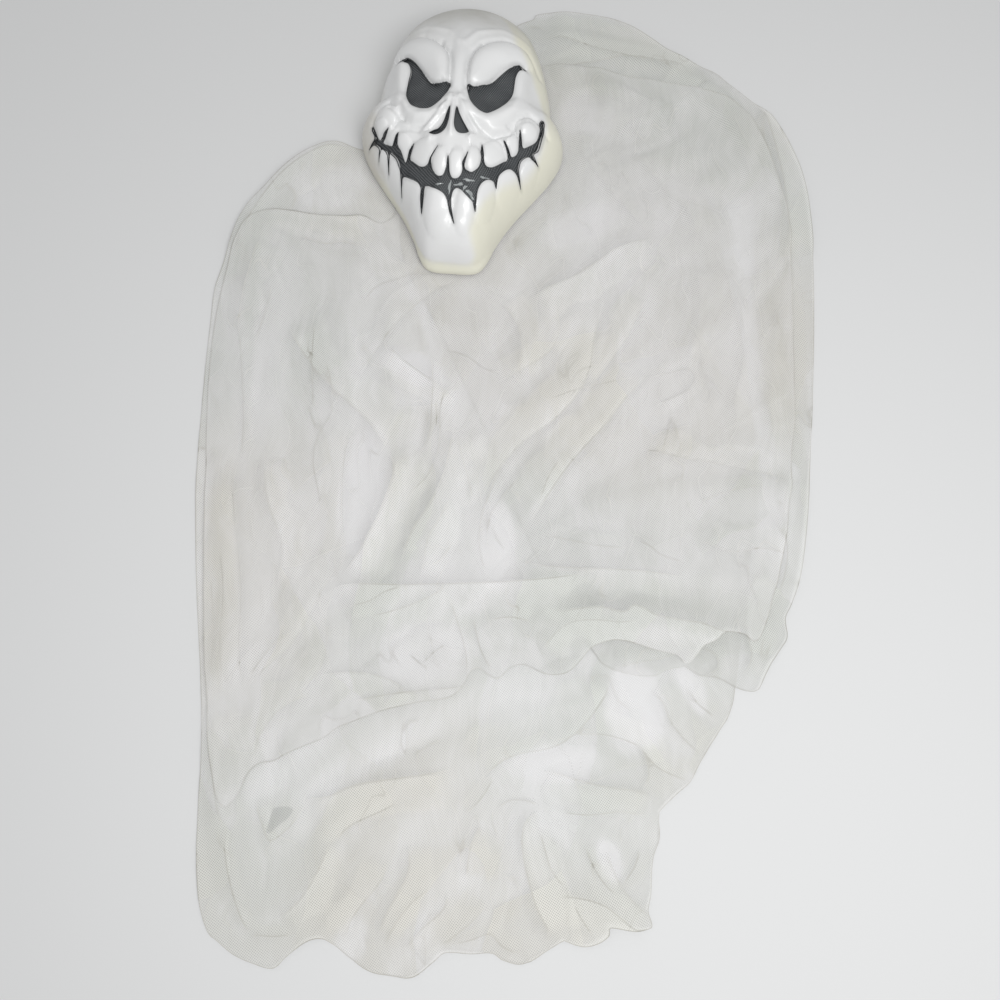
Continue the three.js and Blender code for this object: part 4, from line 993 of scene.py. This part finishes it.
def sample(field, across, up):
    """Values of a field over the table at any points."""
    column = np.clip((across - map_x[0]) / map_step, 0, field.shape[1] - 1.001)
    row = np.clip((up - map_y[0]) / map_step, 0, field.shape[0] - 1.001)
    j, i = column.astype(int), row.astype(int)
    s, t = column - j, row - i
    return ((field[i, j] * (1 - s) + field[i, j + 1] * s) * (1 - t)
            + (field[i + 1, j] * (1 - s) + field[i + 1, j + 1] * s) * t)


def drawn_along(noise, turn, reach, steps=10):
    """Smears noise along a field of directions, so that it turns into wrinkles."""
    total = noise.copy()
    cosine, sine = np.cos(turn), np.sin(turn)
    for way in (1, -1):
        across, up = map_across.copy(), map_up.copy()
        last_x, last_y = way * cosine, way * sine
        for _ in range(steps):
            j = np.clip(((across - map_x[0]) / map_step).round().astype(int), 0, noise.shape[1] - 1)
            i = np.clip(((up - map_y[0]) / map_step).round().astype(int), 0, noise.shape[0] - 1)
            c, s = cosine[i, j], sine[i, j]
            flip = np.where(c * last_x + s * last_y < 0, -1, 1)
            last_x, last_y = c * flip, s * flip
            across += last_x * reach / steps
            up += last_y * reach / steps
            total += sample(noise, across, up)
    return total / total.std()


fold_margin = 130 * mm
fold_fade = 0.16
fold_pull = 32 * mm
upward_pull = 0.03
line_reach = 3.6 * mm
turn_blur = 9 * mm
wobble_wave = 40 * mm
broad_wave, broad_reach = 52 * mm, 80 * mm
narrow_wave, narrow_reach = 22 * mm, 60 * mm


def folded_map(folds, seed):
    """Heights, thickening and crease lines of one sheet's folds and wrinkles over the table."""
    height = np.zeros(map_across.shape)
    thick = np.zeros(map_across.shape)
    nearest = np.full(map_across.shape, 9 * mm)
    strength = np.zeros(map_across.shape)
    double_cosine = np.full(map_across.shape, -upward_pull)
    double_sine = np.zeros(map_across.shape)
    wobble = banded_noise(seed + 2, wobble_wave)
    for (rise, steep, soft, thickening, line), *points in folds:
        run = flowing(on_table(points))
        low, high = run.min(0) - fold_margin, run.max(0) + fold_margin
        columns = slice(*np.searchsorted(map_x, (low[0], high[0])))
        rows = slice(*np.searchsorted(map_y, (low[1], high[1])))
        near = rows, columns
        away, heading, share = beside_run(map_across[near], map_up[near], run)
        ends = smooth(share, 0, fold_fade) * (1 - smooth(share, 1 - fold_fade, 1))
        left = np.exp(-np.abs(away / (soft * mm)) ** 1.6)
        right = np.exp(-(away / (steep * mm)) ** 2)
        profile = np.where(away > 0, left, right)
        height[near] += (rise * mm * profile * ends) ** 3
        onset = smooth(away, -0.8 * mm, 0.8 * mm)
        doubled = 1 - smooth(away / (soft * mm) + 0.12 * wobble[near], 0.8, 1.05)
        here = thickening * onset * (0.55 * doubled + 0.45 * np.exp(-np.abs(away) / (soft * mm))) * ends
        thick[near] = 1 - (1 - thick[near]) * (1 - here)
        closer = np.abs(away) < np.abs(nearest[near])
        nearest[near] = np.where(closer, away, nearest[near])
        drawn = line * ends * (np.abs(away) < line_reach)
        strength[near] = np.where(closer, drawn, strength[near])
        pull = np.exp(-np.abs(away) / fold_pull)
        double_cosine[near] += pull * np.cos(2 * heading)
        double_sine[near] += pull * np.sin(2 * heading)
    height = np.cbrt(height)
    turn = 0.5 * np.arctan2(soften(double_sine, turn_blur), soften(double_cosine, turn_blur))
    broad = drawn_along(banded_noise(seed, broad_wave), turn, broad_reach)
    narrow = drawn_along(banded_noise(seed + 1, narrow_wave), turn, narrow_reach)
    height = np.maximum(0, height + mm * (1.5 + 0.8 * broad + 0.3 * narrow))
    return {"height": height, "thick": thick, "swell": broad + 0.5 * narrow, "fold_line": nearest,
            "fold_strength": strength}


pixel_size = 0.88 * mm


def places_map(places):
    """How strong the thin or the thick places are, over the table."""
    total = np.zeros(map_across.shape)
    for right, down, wide, high, turn, amount in places:
        (x, y), = on_table(((right, down),))
        along, aside = turned_back(map_across - x, map_up - y, -turn)
        away = np.hypot(along / (wide * pixel_size), aside / (high * pixel_size))
        total = np.maximum(total, amount * (1 - smooth(away, 0.7, 1.2)))
    return total


# how free the net is to rise: not at all under the mask, fully from some way outside its rim
rim_press = (2 * mm, 24 * mm)
from_mask = turned_back(map_across - mask_place.x, map_up - mask_place.y, mask_lean)
free = smooth(np.hypot(*from_mask) - rim_reach(np.arctan2(*from_mask)), *rim_press)
thin, thickened = places_map(thin_places), places_map(thick_places)

net_light = (0.96, 0.95, 0.955)
# the dense colours: the net's cream tint darkened with painted shade, as where layers of net shade each
# other
dense_shaded_warm = (0.71, 0.695, 0.645)
dense_shaded_cool = (0.665, 0.68, 0.645)
# a dark colour for painted shade along hems and creases
line_shade = (0.30, 0.29, 0.255)
gap_shade = (0.33, 0.34, 0.325)
weave_pitch = 1.6 * mm
weave_slant = 0.62
weave_width = (0.05, 0.3)
panel_size = 52 * mm
netting_flatness = 0.5
sheet_tones = (0.42, 0.30, 0.08)
hem_tone = 0.2
hem_reach = 60 * mm
hem_line = (0.4 * mm, 1.1 * mm)
crease_line = (0.15 * mm, 0.95 * mm)
panel_line = (0.05 * mm / panel_size, 0.55 * mm / panel_size)
gap_edge = (-0.4 * mm, 1.6 * mm)
# swells to the metre of each pattern of the net, and how strongly each line is drawn
clouds_to_metre, stains_to_metre, streaks_to_metre = 24.0, 3.2, 190.0
bends_to_metre, sparse_to_metre = 13.0, 17.0
hairs_to_metre, scarce_to_metre = 30.0, 26.0
hem_strength, crease_strength, hair_strength, streak_strength = 0.6, 0.22, 0.35, 0.42
hair_width = (0.0015, 0.008)
bend_reach = 50 * mm

net_cloth, shade, principled = new_finish("white_netting")
place = shade.on_piece()
layer = shade.stored("layer")
threads = shade.cell_walls(shade.turned(place, weave_slant), weave_pitch, 0.12)
weave = 1 - threads.between(*weave_width)
clouds = shade.noise(place, clouds_to_metre, 2.0)

# the crumpled net lies in flat panels between hairline creases, a different set in each sheet
shift = shade.node("ShaderNodeCombineXYZ", X=layer * 0.37, Y=layer * 0.21)
shifted = shade.node("ShaderNodeVectorMath", {"operation": "ADD"}, i0=place, i1=shift)
bent = shade.node("ShaderNodeVectorMath", {"operation": "MULTIPLY_ADD"},
                  i0=shade.noise(shifted, bends_to_metre, 1.5, out=1), i1=(bend_reach,) * 3, i2=shifted)
crumpled = shade.turned(bent, 0.45, (1.0, 0.55, 1.0))
panel = shade.node("ShaderNodeTexVoronoi", {"voronoi_dimensions": "2D"}, out=1,
                   Vector=crumpled, Scale=1 / panel_size)
panel = shade.node("ShaderNodeSeparateXYZ", Vector=panel) - 0.5
sparse = shade.noise(shifted, sparse_to_metre, 1.0).between(0.48, 0.62) * crease_strength
creased = (1 - shade.cell_walls(crumpled, panel_size).between(*panel_line)) * sparse
hair_level = shade.noise(shade.turned(bent, -0.5, (1.0, 0.3, 1.0)), hairs_to_metre, 1.5) - 0.5
scarce = shade.noise(shifted, scarce_to_metre, 1.0).between(0.46, 0.60) * hair_strength
haired = (1 - hair_level.size().between(*hair_width)) * scarce
streaks = shade.noise(shade.turned(bent, 0.1, (1.0, 0.12, 1.0)), streaks_to_metre, 1.0) - 0.5

# hems, fold creases, panel creases and hairlines are drawn denser and dark: painted shade along them
hem = 1 - shade.stored("edge").between(*hem_line)
folded = (1 - shade.stored("fold_line").size().between(*crease_line)) * shade.stored("fold_strength")
lines = (hem * hem_strength + folded + creased + haired) * (0.3 + 1.4 * clouds)
stained = shade.noise(place, stains_to_metre, 1.0).between(0.38, 0.62)
alpha = shade.stored("cover") * (0.66 + 0.7 * weave) * (0.92 + 0.16 * clouds) * (1 + 0.35 * panel)
alpha = alpha + lines * 0.7
# shaded: the share of the darker dense colour, painted shade where the net lies thick, varied by clouds,
# panels, weave and streaks
shaded = shade.stored("tone") + 0.10 * (clouds - 0.5) + 0.55 * panel + 0.45 * (weave - 0.4)
shaded = (shaded + streak_strength * streaks).between(0.0, 1.0)
colour = shaded.mix(net_light, stained.mix(dense_shaded_warm, dense_shaded_cool))
colour = lines.at_most(0.85).mix(colour, line_shade)
# painted shadow in the slot between two folds
colour = (shade.stored("gap").between(*gap_edge) * 0.4).mix(colour, gap_shade)

# loose threads scatter light all round, so a fold shades less than a smooth skin would
upright = shade.node("ShaderNodeVectorMath", {"operation": "MULTIPLY"}, i0=shade.on_piece(out=1),
                     i1=(1 - netting_flatness, 1 - netting_flatness, 1))
to_world = {"vector_type": "NORMAL", "convert_from": "OBJECT", "convert_to": "WORLD"}
upright = shade.node("ShaderNodeVectorTransform", to_world, Vector=upright)
feed(principled, Base_Color=colour, Roughness=0.62, Normal=upright, Alpha=alpha.at_most(1.0),
     Specular_IOR_Level=0.2, Sheen_Weight=0.1)

# a slot between two folds at the left of the inner gown, darkened with a painted shadow
gap_outline = (
    (272, 808), (284, 806), (293, 809), (289, 818), (279, 826), (269, 834), (265, 831), (268, 820),
)


def cloth_sheet(name, outline, folds, layer, seed, under, base_cover, node):
    """Lays one sheet of net over the heights under it, and returns the heights of its top."""
    run = on_table(flowing(outline + outline[:1])[:-1])
    sheet, flat = cut_sheet(name, run, cloth_step)
    u, v = flat[:, 0], flat[:, 1]
    folded = folded_map(folds, seed)
    thick = folded["thick"]
    top = np.maximum(under, soften(under, sag_blur)) + layer_gap + free * folded["height"]
    flat[:, 2] = sample(top, u, v)
    move_points(sheet, flat)
    slope_up, slope_across = np.gradient(top, map_step)
    gathered = np.sqrt(1 + 0.7 * (slope_across**2 + slope_up**2))
    amount = base_cover * (1 - 0.3 * thin) * (1 + 0.8 * thickened)
    cover = 1 - (1 - amount) ** gathered * (1 - thick)
    # tone: the share of the darker dense colour, higher on lower sheets, in thick and doubled net, with
    # the wrinkles' swell and towards each hem, lower in thin places; on thick net the darkening is
    # painted shade
    tone = sheet_tones[layer] + 0.07 * folded["swell"] + 0.7 * thick + 0.5 * thickened - 0.75 * thin
    edge = run_distance(u, v, run, closed=True)
    tone = sample(tone, u, v) + hem_tone * np.exp(-edge / hem_reach)
    store(sheet, cover=sample(cover, u, v), tone=tone, fold_line=sample(folded["fold_line"], u, v),
          fold_strength=sample(folded["fold_strength"], u, v), layer=layer, edge=edge)
    if name == "gown_sheet":
        store(sheet, gap=depth_inside(u, v, flowing(on_table(gap_outline))))
    sheet.data.materials.append(net_cloth)
    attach(sheet, "gown")
    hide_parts(node)
    covered = depth_inside(map_across, map_up, run) > -hem_overlap
    return np.where(covered, top, under)


stack = np.full(map_across.shape, first_height)
stack = cloth_sheet("gown_sheet", gown_outline, gown_folds, 0, 11, stack, 0.44, "inner_gown")
stack = cloth_sheet("veil_sheet", veil_outline, veil_folds, 1, 23, stack, 0.36, "hood_veil")
stack = cloth_sheet("cape_sheet", cape_outline, cape_folds, 2, 37, stack, 0.36, "outer_cape")


# Veil bands: the top edges of the veil, pleated and glued round the inside of the mask's crown
# and the sides of its jaw.
band_turns = (10, 128)
band_gathers = 17
band_pleat = 1.7 * mm
band_top = 9
band_clearance = 0.6 * mm
band_lowest = 0.9 * mm
band_columns = 260
band_rows = 8
rim_length = np.abs(rim_reach(np.linspace(*np.radians(band_turns), 60))).mean()
rim_length *= math.radians(band_turns[1] - band_turns[0])

for side, name in ((-1, "veil_band_left"), (1, "veil_band_right")):
    bpy.ops.mesh.primitive_grid_add(x_subdivisions=band_columns, y_subdivisions=band_rows, size=1)
    band = bpy.context.object
    band.name = name + "_cloth"
    strip = points_of(band)
    along, level = strip[:, 0] + 0.5, strip[:, 1] + 0.5
    turn = side * np.radians(band_turns[0] + along * (band_turns[1] - band_turns[0]))
    tilt = np.radians(90 - band_top * level)
    pleat = band_pleat * (1 + np.cos(2 * math.pi * band_gathers * along)) / 2
    reach = (rim_reach(turn) - mask_wall - band_clearance) * np.sin(tilt) - pleat
    height = np.maximum(band_lowest, mask_depth * np.cos(tilt) ** dome_power - mask_wall)
    move_points(band, np.column_stack([reach * np.sin(turn), reach * np.cos(turn), height]))
    bpy.ops.object.shade_smooth()
    place_on_mask(band)
    # the band's tone rises and falls with its pleats: painted shade across them
    store(band, cover=0.9, tone=0.5 + 0.5 * pleat / band_pleat, edge=5 * mm)
    band.data.materials.append(net_cloth)
    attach(band, "mask")
    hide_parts(name)
    band.select_set(False)
